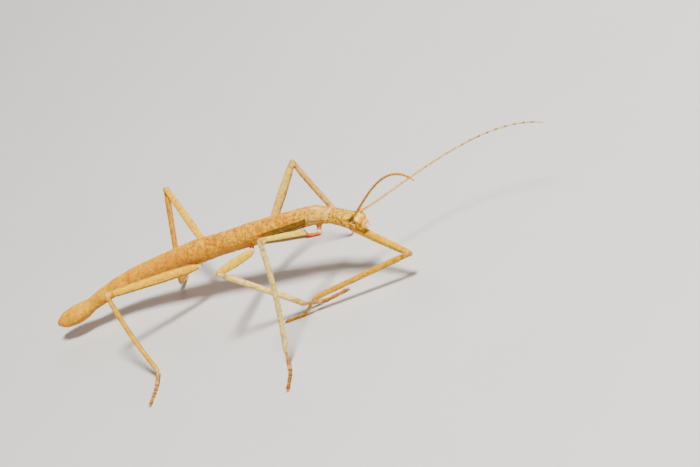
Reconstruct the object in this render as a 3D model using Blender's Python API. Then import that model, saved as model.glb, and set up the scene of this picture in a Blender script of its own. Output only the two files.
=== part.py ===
"""A stick insect at life size, standing still on its six feet with its feelers held forward.

The body is a loft along one bent spine, parted by thin cuts into head, thorax and abdomen segments.
Legs and feelers are tapered curve tubes that start from places on that spine. Lengths are in
millimetres and angles in degrees, and MM turns them into metres when a mesh is made. The head looks
along +X, the insect's left is +Y, and its feet stand at z = 0.
"""

import math

import bmesh
import bpy
import numpy as np
from mathutils import Matrix, Vector

MM = 0.001
GAP = 0.3  # clear space between neighbouring solids
OBJECT = "stick_insect"

# Stations along the spine, counted forward from the level of the middle coxae.
TAIL_END = -51.3
HIND_COXAE = -13.0
THORAX_FRONT = 14.9
NECK = 19.3
FACE = 25.7
HEAD_END = 26.5
AXIS_HEIGHT = 10.05  # of the spine over the floor, at the middle coxae
SPINE_STEP = 0.05

# Which way the spine points: (station, pitch up, yaw to the left), straight between two lines.
HEADINGS = (
    (TAIL_END, 2.5, 10.0),
    (-42.0, 13.0, 20.5),
    (-29.0, 7.5, 5.5),
    (HIND_COXAE, 5.5, 0.0),
    (14.4, 5.5, 0.0),
    (15.6, -3.5, -6.5),
    (18.9, -3.5, -6.5),
    (20.1, -19.0, -8.5),
    (HEAD_END, -19.0, -8.5),
)

# The body's outline: (station, width, height).
OUTLINE = (
    (TAIL_END, 1.2, 1.1),
    (-50.7, 2.6, 2.3),
    (-49.4, 3.6, 3.2),
    (-46.9, 4.1, 3.65),
    (-45.2, 3.85, 3.45),
    (-43.4, 3.3, 3.0),
    (-41.5, 3.15, 2.85),
    (-36.0, 3.45, 3.1),
    (-30.0, 3.75, 3.35),
    (-24.0, 4.0, 3.55),
    (-17.0, 4.5, 4.0),
    (HIND_COXAE, 4.85, 4.3),
    (-6.5, 4.35, 3.9),
    (0.5, 4.65, 4.1),
    (6.0, 4.4, 3.9),
    (10.5, 4.0, 3.5),
    (THORAX_FRONT, 3.65, 3.2),
    (17.2, 3.5, 3.05),
    (NECK, 2.95, 2.6),
    (21.2, 2.95, 2.55),
    (24.4, 3.25, 2.65),
    (FACE, 2.5, 2.15),
    (HEAD_END, 1.5, 1.2),
)
BELLY = 0.88  # how much flatter the underside is than the back

# The sections of the trunk: (name, rear station, front station).
SEGMENTS = (
    ("abdomen_10", TAIL_END, -47.4),
    ("abdomen_9", -47.4, -43.8),
    ("abdomen_8", -43.8, -40.0),
    ("abdomen_7", -40.0, -36.1),
    ("abdomen_6", -36.1, -32.0),
    ("abdomen_5", -32.0, -27.8),
    ("abdomen_4", -27.8, -23.6),
    ("abdomen_3", -23.6, -20.1),
    ("abdomen_2", -20.1, -17.0),
    ("median_segment", -17.0, -14.7),
    ("metathorax", -14.7, -1.1),
    ("mesothorax", -1.1, THORAX_FRONT),
    ("prothorax", THORAX_FRONT, NECK),
    ("head", NECK, FACE),
    ("mouthparts", FACE, HEAD_END),
)
RING_SIDES = 18
RING_STEP = 1.5  # the most between two rings of a loft
SEGMENT_FLARE = 0.03  # how much wider an abdomen segment is at its rear edge

# Places on the head: ahead of the neck, out to the side, and over the spine.
EYE_PLACE = (5.72, 1.28, 0.25)
EYE_RADII = (0.62, 0.42, 0.54)
ANTENNA_ROOT = (4.85, 0.9, 0.75)
ANTENNA_LINE = (5.2, 0.85, 0.75)  # where its course starts, which it bends onto from its root

# Each feeler's course: its azimuth and its rise, as start, slope and bend over its whole length.
ANTENNAE = {
    "left": {"side": 1, "azimuth": (39.9, -10.4, -48.7), "rise": (0.9, 23.5, -28.6)},
    "right": {"side": -1, "azimuth": (-10.5, -26.0, -0.9), "rise": (34.5, -4.2, -26.7)},
}
ANTENNA_LENGTH = 36.6
ANTENNA_PARTS = (("scape", 0.0, 2.2), ("flagellum_1", 2.2, 19.0), ("flagellum_2", 19.0, ANTENNA_LENGTH))
ANTENNA_THICKNESS = ((0.0, 0.62), (2.2, 0.56), (ANTENNA_LENGTH, 0.5))
ANTENNA_STEP = 1.6
ROOT_BEND = 3.0

# Each pair of legs: where it joins the spine, how far out and down its hips are, and the lengths
# it shares.
PAIRS = {
    "front": {"station": 16.9, "out": 1.76, "drop": 2.0, "femur": 18.75, "tibia": 19.45},
    "middle": {"station": 0.5, "out": 2.35, "drop": 1.75, "femur": 13.05, "tibia": 14.85},
    "hind": {"station": HIND_COXAE, "out": 2.1, "drop": 1.5, "femur": 16.65, "tibia": 16.7},
}
COXA_ROOT = 0.5  # where a coxa starts, as a share of the way from the spine to the hip
HIP_CLEAR = 0.72  # from the hip point to the femur's first ring
KNEE_CAP = 0.25  # how far the femur's end reaches past the knee point
KNEE_WIDTH = 1.02  # of femur and tibia side by side at the knee
ANKLE_CLEAR = 0.42  # between tibia and tarsus
TARSUS = 7.3


def stance(pair, side, femur, tibia, ankle, tarsus, forward=0.0, bow=(0.0, 0.0)):
    """One leg's pose: the femur's azimuth and rise, the azimuths of tibia and tarsus, the ankle's
    height, how far the hip sits ahead of its pair's station, and how far the tibia bows to its left
    and up. The tibia falls as steeply as it takes to bring the ankle to its height."""
    return {"pair": pair, "side": side, "femur": femur, "tibia": tibia, "ankle": ankle,
            "tarsus": tarsus, "forward": forward, "bow": bow}


LEGS = {
    "front_right": stance("front", -1, femur=(-74.1, 35.3), tibia=-133.8, ankle=2.15, tarsus=-66.0,
                          bow=(0.0, -0.42)),
    "middle_right": stance("middle", -1, femur=(-72.7, 23.4), tibia=28.0, ankle=1.55, tarsus=29.0),
    "hind_right": stance("hind", -1, femur=(-138.9, 17.3), tibia=-41.6, ankle=1.3, tarsus=-72.0,
                         bow=(-0.33, 0.0)),
    "front_left": stance("front", 1, femur=(-21.4, -15.5), tibia=-165.1, ankle=2.6, tarsus=-165.0),
    "middle_left": stance("middle", 1, femur=(36.8, 40.3), tibia=2.6, ankle=2.2, tarsus=110.0,
                          forward=1.3, bow=(-0.2, 0.0)),
    "hind_left": stance("hind", 1, femur=(139.1, 28.0), tibia=-94.1, ankle=1.5, tarsus=120.0,
                        forward=-0.6),
}

# Thicknesses along each length of a leg: (share of the way, thickness).
COXA_THICKNESS = ((0.0, 1.0), (0.75, 0.95), (1.0, 0.7))
FEMUR_THICKNESS = {
    "front": ((0.0, 0.7), (0.2, 0.85), (0.27, 1.6), (0.6, 1.52), (0.9, 1.25), (1.0, 0.7)),
    "middle": ((0.0, 0.8), (0.1, 1.5), (0.5, 1.75), (0.88, 1.4), (1.0, 0.7)),
    "hind": ((0.0, 0.8), (0.1, 1.55), (0.4, 1.75), (0.9, 1.4), (1.0, 0.7)),
}
FEMUR_LIFT = {  # of its middle line: the front femur's thin neck hangs low, where the head folds in
    "front": ((0.0, -0.28), (0.2, -0.34), (0.28, 0.12), (1.0, 0.0)),
    "middle": ((0.0, 0.0), (1.0, 0.0)),
    "hind": ((0.0, 0.0), (1.0, 0.0)),
}
TIBIA_THICKNESS = ((0.0, 0.66), (0.12, 1.1), (0.5, 1.04), (0.9, 1.0), (1.0, 0.78))
TARSUS_THICKNESS = ((0.0, 0.7), (0.3, 0.74), (0.8, 0.66), (1.0, 0.7))
FEMUR_RINGS = 16
TIBIA_RINGS = 8
TARSUS_RINGS = 9
FOOT_SINK = 0.21  # height of the foot's middle line where its sole lies flat
FOOT_FLAT = 0.55  # share of the tarsus after which its sole lies flat

TAN = (0.52, 0.27, 0.09)
GREY_TAN = (0.50, 0.36, 0.20)
ORANGE = (0.60, 0.28, 0.06)
CREAM = (0.74, 0.50, 0.26)
PINK = (0.70, 0.44, 0.27)
EYE_BROWN = (0.40, 0.19, 0.03)


# ---- places -----------------------------------------------------------------------------------


def direction(azimuth, rise):
    """The unit vector at these angles in degrees."""
    azimuth, rise = math.radians(azimuth), math.radians(rise)
    return Vector((math.cos(rise) * math.cos(azimuth), math.cos(rise) * math.sin(azimuth), math.sin(rise)))


def table_value(table, at, column=1):
    """A column of a table, read in straight lines between its rows."""
    return float(np.interp(at, [row[0] for row in table], [row[column] for row in table]))


def heading(station):
    return direction(table_value(HEADINGS, station, 2), table_value(HEADINGS, station))


def make_spine():
    """The spine's points by station, added up in small steps both ways from the middle coxae."""
    points = {0: Vector((0.0, 0.0, AXIS_HEIGHT))}
    for way, end in ((1, HEAD_END), (-1, TAIL_END)):
        for step in range(1, round(abs(end) / SPINE_STEP) + 1):
            middle = way * (step - 0.5) * SPINE_STEP
            points[way * step] = points[way * (step - 1)] + heading(middle) * SPINE_STEP * way
    return points


SPINE = make_spine()


def body_frame(station):
    """The spine's point at a station, with its forward, left and up directions."""
    forward = heading(station)
    left = Vector((-forward.y, forward.x, 0.0)).normalized()
    return SPINE[round(station / SPINE_STEP)], forward, left, forward.cross(left)


def head_place(ahead, out, over, side):
    """A place on the head, from its distances and its side."""
    point, forward, left, up = body_frame(HEAD_END)
    neck = point - forward * (HEAD_END - NECK)
    return neck + forward * ahead + left * out * side + up * over


def leg_places(leg):
    """The coxa's root, the hip, the knee and the ankle of a leg."""
    pair = PAIRS[leg["pair"]]
    middle, _, left, up = body_frame(pair["station"] + leg["forward"])
    hip = middle + left * pair["out"] * leg["side"] - up * pair["drop"]
    knee = hip + direction(*leg["femur"]) * pair["femur"]
    fall = knee.z - leg["ankle"]
    reach = math.sqrt(pair["tibia"] ** 2 - fall**2)
    ankle = knee + direction(leg["tibia"], 0.0) * reach - Vector((0, 0, fall))
    return middle.lerp(hip, COXA_ROOT), hip, knee, ankle


def tarsus_path(ankle, azimuth):
    """From the ankle down to the floor and along it, in even steps."""
    flat = direction(azimuth, 0.0)
    reach = math.sqrt(TARSUS**2 - ankle.z**2)
    points = []
    for t in np.linspace(0.0, 1.0, TARSUS_RINGS):
        slope = max(0.0, 1.0 - t / FOOT_FLAT)
        height = FOOT_SINK + (ankle.z - FOOT_SINK) * slope**1.4
        points.append(Vector((ankle.x, ankle.y, height)) + flat * reach * t)
    return points


def antenna_path(side, start, end):
    """A stretch of one feeler, which turns by its course's angles."""
    feeler = ANTENNAE[side]
    point = head_place(*ANTENNA_LINE, feeler["side"])
    to_root = head_place(*ANTENNA_ROOT, feeler["side"]) - point
    step = SPINE_STEP
    points = [point + to_root] if start == 0 else []
    marks = list(np.linspace(start, end, max(3, round((end - start) / ANTENNA_STEP) + 1)))
    marks = marks[1:] if start == 0 else marks
    for k in range(round(ANTENNA_LENGTH / step)):
        along = (k + 0.5) * step
        t = along / ANTENNA_LENGTH
        turn = [sum(c * t**power for power, c in enumerate(feeler[name])) for name in ("azimuth", "rise")]
        point += direction(*turn) * step
        while marks and marks[0] <= along + 0.5 * step + 1e-6:
            points.append(point + to_root * max(0.0, 1.0 - marks[0] / ROOT_BEND))
            marks.pop(0)
    return points


# ---- solids -----------------------------------------------------------------------------------


def collection(name):
    made = bpy.data.collections.new(name)
    bpy.context.scene.collection.children.link(made)
    return made


def paint(obj, colour, roughness=0.6):
    """Gives the object its own plain material."""
    material = bpy.data.materials.new(obj.name)
    material.use_nodes = True
    shader = material.node_tree.nodes["Principled BSDF"]
    shader.inputs["Base Color"].default_value = (*colour, 1.0)
    shader.inputs["Roughness"].default_value = roughness
    shader.inputs["Metallic"].default_value = 0.0
    obj.data.materials.append(material)


def add_mesh(bm, name, group):
    """Makes an object of a bmesh whose points are in millimetres."""
    bmesh.ops.scale(bm, vec=(MM, MM, MM), verts=bm.verts)
    bmesh.ops.recalc_face_normals(bm, faces=bm.faces)
    mesh = bpy.data.meshes.new(name)
    bm.to_mesh(mesh)
    bm.free()
    mesh.shade_smooth()
    mesh.set_sharp_from_angle(angle=math.radians(40))
    obj = bpy.data.objects.new(name, mesh)
    group.objects.link(obj)
    return obj


def body_ring(station, widen):
    """One cross-section of the body: an ellipse that is flatter below."""
    middle, _, left, up = body_frame(station)
    half_width = 0.5 * table_value(OUTLINE, station) * widen
    half_height = 0.5 * table_value(OUTLINE, station, 2) * widen
    ring = []
    for k in range(RING_SIDES):
        angle = 2 * math.pi * (k + 0.5) / RING_SIDES
        rise = math.sin(angle) * half_height
        ring.append(middle + left * math.cos(angle) * half_width + up * (rise if rise > 0 else rise * BELLY))
    return ring


def add_segment(name, rear, front, group):
    """One section of the trunk: a loft of rings that leaves half a gap at each cut."""
    rear_cut = rear if rear == TAIL_END else rear + GAP / 2
    front_cut = front if front == HEAD_END else front - GAP / 2
    marks = [row[0] for row in OUTLINE + HEADINGS if rear_cut < row[0] < front_cut]
    even = np.linspace(rear_cut, front_cut, math.ceil((front_cut - rear_cut) / RING_STEP) + 1)
    stations = sorted({round(s / SPINE_STEP) * SPINE_STEP for s in [*marks, *even[1:-1]]})
    stations = [s for s in stations if rear_cut + 0.2 < s < front_cut - 0.2]
    flare = SEGMENT_FLARE if name.startswith("abdomen") else 0.0
    bm = bmesh.new()
    rings = []
    for station in [rear_cut, *stations, front_cut]:
        share = (front_cut - station) / (front_cut - rear_cut)
        widen = 1.0 + flare * (share - 0.5) * 2
        rings.append([bm.verts.new(p) for p in body_ring(station, widen)])
    for lower, upper in zip(rings, rings[1:]):
        for k in range(RING_SIDES):
            after = (k + 1) % RING_SIDES
            bm.faces.new((lower[k], lower[after], upper[after], upper[k]))
    bm.faces.new(rings[0])
    bm.faces.new(rings[-1])
    return add_mesh(bm, name, group)


def add_tube(name, points, thickness, group, grow=0.0):
    """A tapered tube along points: a curve with a bevel and filled caps, made a mesh."""
    curve = bpy.data.curves.new(name, "CURVE")
    curve.dimensions = "3D"
    curve.twist_mode = "Z_UP"
    curve.bevel_depth = MM / 2
    curve.bevel_resolution = 2
    curve.use_fill_caps = True
    spline = curve.splines.new("POLY")
    spline.points.add(len(points) - 1)
    for k, (point, place) in enumerate(zip(points, spline.points)):
        place.co = (*(point * MM), 1.0)
        place.radius = table_value(thickness, k / (len(points) - 1)) + 2 * grow
    guide = bpy.data.objects.new(name + "_guide", curve)
    group.objects.link(guide)
    mesh = bpy.data.meshes.new_from_object(guide.evaluated_get(bpy.context.evaluated_depsgraph_get()))
    bpy.data.objects.remove(guide)
    bpy.data.curves.remove(curve)
    bm = bmesh.new()
    bm.from_mesh(mesh)
    bpy.data.meshes.remove(mesh)
    bmesh.ops.scale(bm, vec=(1 / MM, 1 / MM, 1 / MM), verts=bm.verts)
    bmesh.ops.remove_doubles(bm, verts=bm.verts, dist=GAP / 100)
    return add_mesh(bm, name, group)


def straight(start, end, rings, skip_start=0.0, skip_end=0.0):
    """Even points from start to end, less what is skipped at each end."""
    along = (end - start).normalized()
    start, end = start + along * skip_start, end - along * skip_end
    return [start.lerp(end, t) for t in np.linspace(0.0, 1.0, rings)]


def bend(points, offset):
    """Moves each point to its line's left and up by what offset gives for its share of the way."""
    along = (points[-1] - points[0]).normalized()
    left = Vector((-along.y, along.x, 0.0)).normalized()
    up = along.cross(left)
    bent = []
    for k, point in enumerate(points):
        aside, over = offset(k / (len(points) - 1))
        bent.append(point + left * aside + up * over)
    return bent


def knee_clear(hip, knee, ankle):
    """How far from the knee point the tibia starts, so that it stands clear of a folded femur."""
    return KNEE_WIDTH / (2 * math.sin((hip - knee).angle(ankle - knee) / 2))


def add_ball(name, place, radii, group, grow=0.0):
    """An egg-shaped ball set square to the head."""
    _, forward, left, up = body_frame(HEAD_END)
    bm = bmesh.new()
    bmesh.ops.create_uvsphere(bm, u_segments=14, v_segments=10, radius=1.0)
    turn = Matrix((forward, left, up)).transposed()
    sizes = Matrix.Diagonal([r + grow for r in radii])
    bmesh.ops.transform(bm, matrix=(turn @ sizes).to_4x4(), verts=bm.verts)
    bmesh.ops.translate(bm, vec=place, verts=bm.verts)
    return add_mesh(bm, name, group)


def cut(obj, cutter):
    """Takes the cutter out of the object."""
    cutter.hide_render = True
    cutter.display_type = "WIRE"
    modifier = obj.modifiers.new("cut_" + cutter.name, "BOOLEAN")
    modifier.operation = "DIFFERENCE"
    modifier.solver = "EXACT"
    modifier.object = cutter


def add_trunk(group):
    colours = {"head": GREY_TAN, "prothorax": GREY_TAN, "mouthparts": PINK, "abdomen_10": ORANGE}
    made = {}
    for name, rear, front in SEGMENTS:
        made[name] = add_segment(name, rear, front, group)
        paint(made[name], colours.get(name, TAN))
    return made


def add_head_parts(trunk, group, cutters):
    """The eyes and feelers, each in a socket of the head."""
    for name, feeler in ANTENNAE.items():
        eye_place = head_place(*EYE_PLACE, feeler["side"])
        eye = add_ball("eye_" + name, eye_place, EYE_RADII, group)
        paint(eye, EYE_BROWN, 0.25)
        cut(trunk["head"], add_ball("eye_socket_" + name, eye_place, EYE_RADII, cutters, grow=GAP))
        for part, start, end in ANTENNA_PARTS:
            first = start + (GAP if start else 0.0)
            points = antenna_path(name, first, end)
            thickness = [(t, table_value(ANTENNA_THICKNESS, first + (end - first) * t)) for t in (0.0, 1.0)]
            tube = add_tube(f"antenna_{name}_{part}", points, thickness, group)
            paint(tube, PINK)
            if part == "scape":
                socket = add_tube("antenna_socket_" + name, points, thickness, cutters, grow=GAP)
                for owner in (trunk["head"], eye):
                    cut(owner, socket)


def add_leg(name, leg, trunk, group, cutters):
    """A leg's four lengths, with the coxa in a socket of the thorax."""
    root, hip, knee, ankle = leg_places(leg)
    coxa_line = straight(root, hip, 5)
    paint(add_tube("coxa_" + name, coxa_line, COXA_THICKNESS, group), PINK)
    socket_line = [root + (root - hip).normalized() * GAP, *coxa_line]
    socket = add_tube("coxa_socket_" + name, socket_line, COXA_THICKNESS, cutters, grow=GAP)
    owner = {"front": "prothorax", "middle": "mesothorax", "hind": "metathorax"}[leg["pair"]]
    cut(trunk[owner], socket)
    femur_line = straight(hip, knee, FEMUR_RINGS, skip_start=HIP_CLEAR, skip_end=-KNEE_CAP)
    femur_line = bend(femur_line, lambda t: (0.0, table_value(FEMUR_LIFT[leg["pair"]], t)))
    paint(add_tube("femur_" + name, femur_line, FEMUR_THICKNESS[leg["pair"]], group), CREAM)
    clear = knee_clear(hip, knee, ankle)
    tibia_line = straight(knee, ankle, TIBIA_RINGS, skip_start=clear, skip_end=ANKLE_CLEAR)
    tibia_line = bend(tibia_line, lambda t: [amount * math.sin(math.pi * t) for amount in leg["bow"]])
    paint(add_tube("tibia_" + name, tibia_line, TIBIA_THICKNESS, group), CREAM)
    foot = add_tube("tarsus_" + name, tarsus_path(ankle, leg["tarsus"]), TARSUS_THICKNESS, group)
    for vertex in foot.data.vertices:
        vertex.co.z = max(0.0, vertex.co.z)
    paint(foot, PINK)


def centre_on_floor(groups):
    """Moves everything so that the box round the parts stands on the origin."""
    bpy.context.view_layer.update()
    parts = groups[0].objects
    corners = [obj.matrix_world @ Vector(c) for obj in parts for c in obj.bound_box]
    low = Vector(min(c[k] for c in corners) for k in range(3))
    high = Vector(max(c[k] for c in corners) for k in range(3))
    shift = Matrix.Translation((-(low.x + high.x) / 2, -(low.y + high.y) / 2, 0.0))
    for group in groups:
        for obj in group.objects:
            obj.data.transform(shift)


def main():
    for obj in list(bpy.data.objects):
        bpy.data.objects.remove(obj)
    group, cutters = collection(OBJECT), collection("cutters")
    cutters.hide_render = True
    trunk = add_trunk(group)
    add_head_parts(trunk, group, cutters)
    for name, leg in LEGS.items():
        add_leg(name, leg, trunk, group, cutters)
    centre_on_floor((group, cutters))


main()
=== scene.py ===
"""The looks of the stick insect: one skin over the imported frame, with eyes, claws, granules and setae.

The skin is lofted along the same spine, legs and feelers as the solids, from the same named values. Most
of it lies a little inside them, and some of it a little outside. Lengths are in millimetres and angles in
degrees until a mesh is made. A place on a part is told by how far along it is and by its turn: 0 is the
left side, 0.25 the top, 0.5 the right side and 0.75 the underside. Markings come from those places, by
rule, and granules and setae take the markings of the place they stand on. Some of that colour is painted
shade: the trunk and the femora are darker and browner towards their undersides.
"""

import math

import bpy
import numpy as np
from mathutils import Matrix, Vector


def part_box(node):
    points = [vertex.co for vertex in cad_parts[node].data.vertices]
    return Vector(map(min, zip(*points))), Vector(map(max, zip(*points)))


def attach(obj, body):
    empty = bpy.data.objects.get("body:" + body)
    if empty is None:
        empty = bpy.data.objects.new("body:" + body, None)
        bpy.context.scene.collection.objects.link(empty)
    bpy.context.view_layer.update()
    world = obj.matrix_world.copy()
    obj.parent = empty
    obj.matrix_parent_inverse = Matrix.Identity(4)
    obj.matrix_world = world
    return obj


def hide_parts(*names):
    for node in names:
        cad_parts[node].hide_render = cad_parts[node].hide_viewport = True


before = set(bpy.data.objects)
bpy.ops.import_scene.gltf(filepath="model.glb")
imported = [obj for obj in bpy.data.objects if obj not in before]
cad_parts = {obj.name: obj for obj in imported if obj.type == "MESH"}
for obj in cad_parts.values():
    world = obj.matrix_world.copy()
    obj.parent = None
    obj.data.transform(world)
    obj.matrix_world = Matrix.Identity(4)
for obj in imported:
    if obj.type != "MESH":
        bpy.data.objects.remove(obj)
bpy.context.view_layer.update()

MM = 0.001
TAU = 2 * math.pi
UP = np.array((0.0, 0.0, 1.0))
TOP, UNDERSIDE = 0.25, 0.75  # turns

# ---- values shared with the solids ---------------------------------------------------------------

TAIL_END, HIND_COXAE, THORAX_FRONT = -51.3, -13.0, 14.9
NECK, FACE, HEAD_END = 19.3, 25.7, 26.5
AXIS_HEIGHT, SPINE_STEP = 10.05, 0.05

HEADINGS = np.array((  # station, pitch up, yaw to the left
    (TAIL_END, 2.5, 10.0),
    (-42.0, 13.0, 20.5),
    (-29.0, 7.5, 5.5),
    (HIND_COXAE, 5.5, 0.0),
    (14.4, 5.5, 0.0),
    (15.6, -3.5, -6.5),
    (18.9, -3.5, -6.5),
    (20.1, -19.0, -8.5),
    (HEAD_END, -19.0, -8.5),
))
OUTLINE = np.array((  # station, width, height
    (TAIL_END, 1.2, 1.1),
    (-50.7, 2.6, 2.3),
    (-49.4, 3.6, 3.2),
    (-46.9, 4.1, 3.65),
    (-45.2, 3.85, 3.45),
    (-43.4, 3.3, 3.0),
    (-41.5, 3.15, 2.85),
    (-36.0, 3.45, 3.1),
    (-30.0, 3.75, 3.35),
    (-24.0, 4.0, 3.55),
    (-17.0, 4.5, 4.0),
    (HIND_COXAE, 4.85, 4.3),
    (-6.5, 4.35, 3.9),
    (0.5, 4.65, 4.1),
    (6.0, 4.4, 3.9),
    (10.5, 4.0, 3.5),
    (THORAX_FRONT, 3.65, 3.2),
    (17.2, 3.5, 3.05),
    (NECK, 2.95, 2.6),
    (21.2, 2.95, 2.55),
    (24.4, 3.25, 2.65),
    (FACE, 2.5, 2.15),
    (HEAD_END, 1.5, 1.2),
))
BELLY = 0.88
ABDOMEN_JOINTS = (-47.4, -43.8, -40.0, -36.1, -32.0, -27.8, -23.6, -20.1, -17.0)
THORAX_JOINTS = (-14.7, -1.1)

EYE_PLACE, EYE_RADII = (5.72, 1.28, 0.25), (0.62, 0.42, 0.54)
ANTENNA_ROOT, ANTENNA_LENGTH = (4.85, 0.9, 0.75), 36.6
ANTENNA_LINE, ROOT_BEND = (5.2, 0.85, 0.75), 3.0
ANTENNAE = {
    "left": {"side": 1, "azimuth": (39.9, -10.4, -48.7), "rise": (0.9, 23.5, -28.6)},
    "right": {"side": -1, "azimuth": (-10.5, -26.0, -0.9), "rise": (34.5, -4.2, -26.7)},
}
PAIRS = {
    "front": {"station": 16.9, "out": 1.76, "drop": 2.0, "femur": 18.75, "tibia": 19.45},
    "middle": {"station": 0.5, "out": 2.35, "drop": 1.75, "femur": 13.05, "tibia": 14.85},
    "hind": {"station": HIND_COXAE, "out": 2.1, "drop": 1.5, "femur": 16.65, "tibia": 16.7},
}
TARSUS, FOOT_FLAT = 7.3, 0.55


def stance(pair, side, femur, tibia, ankle, tarsus, forward=0.0, bow=(0.0, 0.0)):
    return {"pair": pair, "side": side, "femur": femur, "tibia": tibia, "ankle": ankle,
            "tarsus": tarsus, "forward": forward, "bow": bow}


LEGS = {
    "front_right": stance("front", -1, femur=(-74.1, 35.3), tibia=-133.8, ankle=2.15, tarsus=-66.0,
                          bow=(0.0, -0.42)),
    "middle_right": stance("middle", -1, femur=(-72.7, 23.4), tibia=28.0, ankle=1.55, tarsus=29.0),
    "hind_right": stance("hind", -1, femur=(-138.9, 17.3), tibia=-41.6, ankle=1.3, tarsus=-72.0,
                         bow=(-0.33, 0.0)),
    "front_left": stance("front", 1, femur=(-21.4, -15.5), tibia=-165.1, ankle=2.6, tarsus=-165.0),
    "middle_left": stance("middle", 1, femur=(36.8, 40.3), tibia=2.6, ankle=2.2, tarsus=110.0,
                          forward=1.3, bow=(-0.2, 0.0)),
    "hind_left": stance("hind", 1, femur=(139.1, 28.0), tibia=-94.1, ankle=1.5, tarsus=120.0,
                        forward=-0.6),
}
FEMUR_LIFT = {
    "front": ((0.0, -0.28), (0.2, -0.34), (0.28, 0.12), (1.0, 0.0)),
    "middle": ((0.0, 0.0), (1.0, 0.0)),
    "hind": ((0.0, 0.0), (1.0, 0.0)),
}

# ---- the skin's own values -----------------------------------------------------------------------

INSET = 0.05  # of the trunk's skin under the solids, which leaves room for granules and setae
TRUNK_SIDES = 104
TRUNK_STEP, HEAD_STEP = 0.18, 0.055
LEG_SIDES, ANTENNA_SIDES = 22, 12
EYE_WIDTH = 0.5  # half of it, as the head's relief and markings see the eye
DOME_RINGS = 4  # of a tube's rounded end
GRAIN_LENGTH = 997  # after which a grain repeats
FOOT_HEIGHT = 0.24  # of the tarsus's middle where it lies on the floor
TARSUS_RINGS, TARSUS_SIDES = 62, 20
TRUNK_ROUND = 13.0  # round the trunk, about, to space granules by
LEAST_HEIGHT, HAIR_CLEAR = 0.01, 0.12  # over the floor, of small things and of the roots of setae
PATCH_SIDE, PATCH_RISE = 0.003, 0.0004  # of one small thing on the map, as shares of the map's side
LOW_GLARE = 0.12  # of cuticle
DEPTH = 1.45  # how much further from grey the pigments are than the colours that they show
YELLOWER = 0.92  # how orange ones lean to yellow
SMOOTHING = 30  # spine steps to each side of a station
RIBS, FIRST_RIB = 4, 0.125  # of femora and tibiae, and the turn of the first
BRISTLES = {"left": 260, "right": 110}  # on the root of each feeler

# The thorax's front rim and the head's ring, each with the fold ahead of it: stations under the neck,
# and how far rim and ring stand forward of them on the back.
MESO_RIM_AT, MESO_FOLD_AT, MESO_RIM = 14.7, 15.0, 1.0
HEAD_RIM_AT, HEAD_FOLD_AT, HEAD_RIM = 19.05, 19.32, 0.75
FACE_FOLD, LIP_FOLD = 6.46, 6.84  # of the face, ahead of the neck
RIDGE_TURN = 0.43  # of the ridge along the right side of the mesothorax; the left one mirrors it


def srgb(red, green, blue):
    """A pigment, named by the colour, 0 to 255, that it should show once bright light has paled it."""
    c = np.array((red, green, blue)) / 255
    light = np.where(c <= 0.04045, c / 12.92, ((c + 0.055) / 1.055) ** 2.4)
    grey = light @ (0.2126, 0.7152, 0.0722)
    low, high = light.min(), light.max()
    share = ((light - low) / (high - low)) ** np.where(light == high, 1.0, YELLOWER)
    low, high = np.clip(grey + (np.array((low, high)) - grey) * DEPTH, 0.004, 0.9)
    return low + (high - low) * share


TAN = srgb(214, 150, 58)
PALE_TAN = srgb(228, 174, 96)
ORANGE = srgb(202, 126, 38)
YELLOW = srgb(240, 172, 34)
BROWN = srgb(136, 84, 22)
DARK_BROWN = srgb(84, 48, 20)
OLIVE = srgb(104, 76, 28)
GREY_TAN = srgb(218, 180, 120)
CREAM = srgb(238, 212, 156)
WHITE = srgb(242, 226, 196)
PINK = srgb(226, 176, 140)
CORAL = srgb(218, 104, 42)
DARK_RED = srgb(122, 26, 8)
LEG_COLOURS = {  # femur, tibia, tarsus
    "front_right": (srgb(255, 230, 150), srgb(232, 212, 160), srgb(150, 108, 74)),
    "middle_right": (srgb(250, 204, 10), srgb(240, 216, 160), srgb(168, 124, 84)),
    "hind_right": (srgb(246, 194, 112), srgb(202, 156, 84), srgb(170, 126, 84)),
    "front_left": (srgb(226, 176, 92), srgb(208, 166, 104), srgb(168, 124, 84)),
    "middle_left": (srgb(255, 226, 154), srgb(218, 176, 126), srgb(172, 126, 86)),
    "hind_left": (srgb(250, 202, 120), srgb(204, 148, 84), srgb(172, 124, 82)),
}
FEMUR_EDGES_AND_PAINTED_SHADE = {  # share of brown on the edges; reach, in degrees, and share of the painted shade on the underside
    "front_right": (0.45, 67, 0.9),
    "middle_right": (0.15, 50, 0.2),
    "hind_right": (0.45, 70, 0.5),
}
FEELER_COLOURS = {  # most of it, root, tip
    "left": (srgb(228, 196, 142), srgb(226, 176, 96), srgb(240, 218, 184)),
    "right": (srgb(208, 150, 66), srgb(92, 52, 18), srgb(214, 160, 86)),
}


# ---- small maths ---------------------------------------------------------------------------------


def direction(azimuth, rise):
    azimuth, rise = np.radians(azimuth), np.radians(rise)
    return np.stack([np.cos(rise) * np.cos(azimuth), np.cos(rise) * np.sin(azimuth), np.sin(rise)], -1)


def unit(v):
    return v / np.linalg.norm(v, axis=-1, keepdims=True)


def table(rows, at, column=1):
    rows = np.asarray(rows)
    return np.interp(at, rows[:, 0], rows[:, column])


def step(x, low, high):
    """0 below low, 1 above high, and smooth between."""
    t = np.clip((x - low) / (high - low), 0.0, 1.0)
    return t * t * (3 - 2 * t)


def fade(x, low, high):
    """1 below low, 0 above high."""
    return 1 - step(x, low, high)


def bell(x, width):
    return np.exp(-((x / width) ** 2))


def turn_gap(turn, at):
    """How far apart two turns are, in degrees."""
    return np.abs((turn - at + 0.5) % 1.0 - 0.5) * 360


def pair_gap(turn, at):
    """The same, from the nearer one of two turns that mirror each other: left and right."""
    return np.minimum(turn_gap(turn, at), turn_gap(turn, 0.5 - at))


def mix(a, b, share):
    share = np.asarray(share)[..., None]
    return a * (1 - share) + b * share


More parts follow.
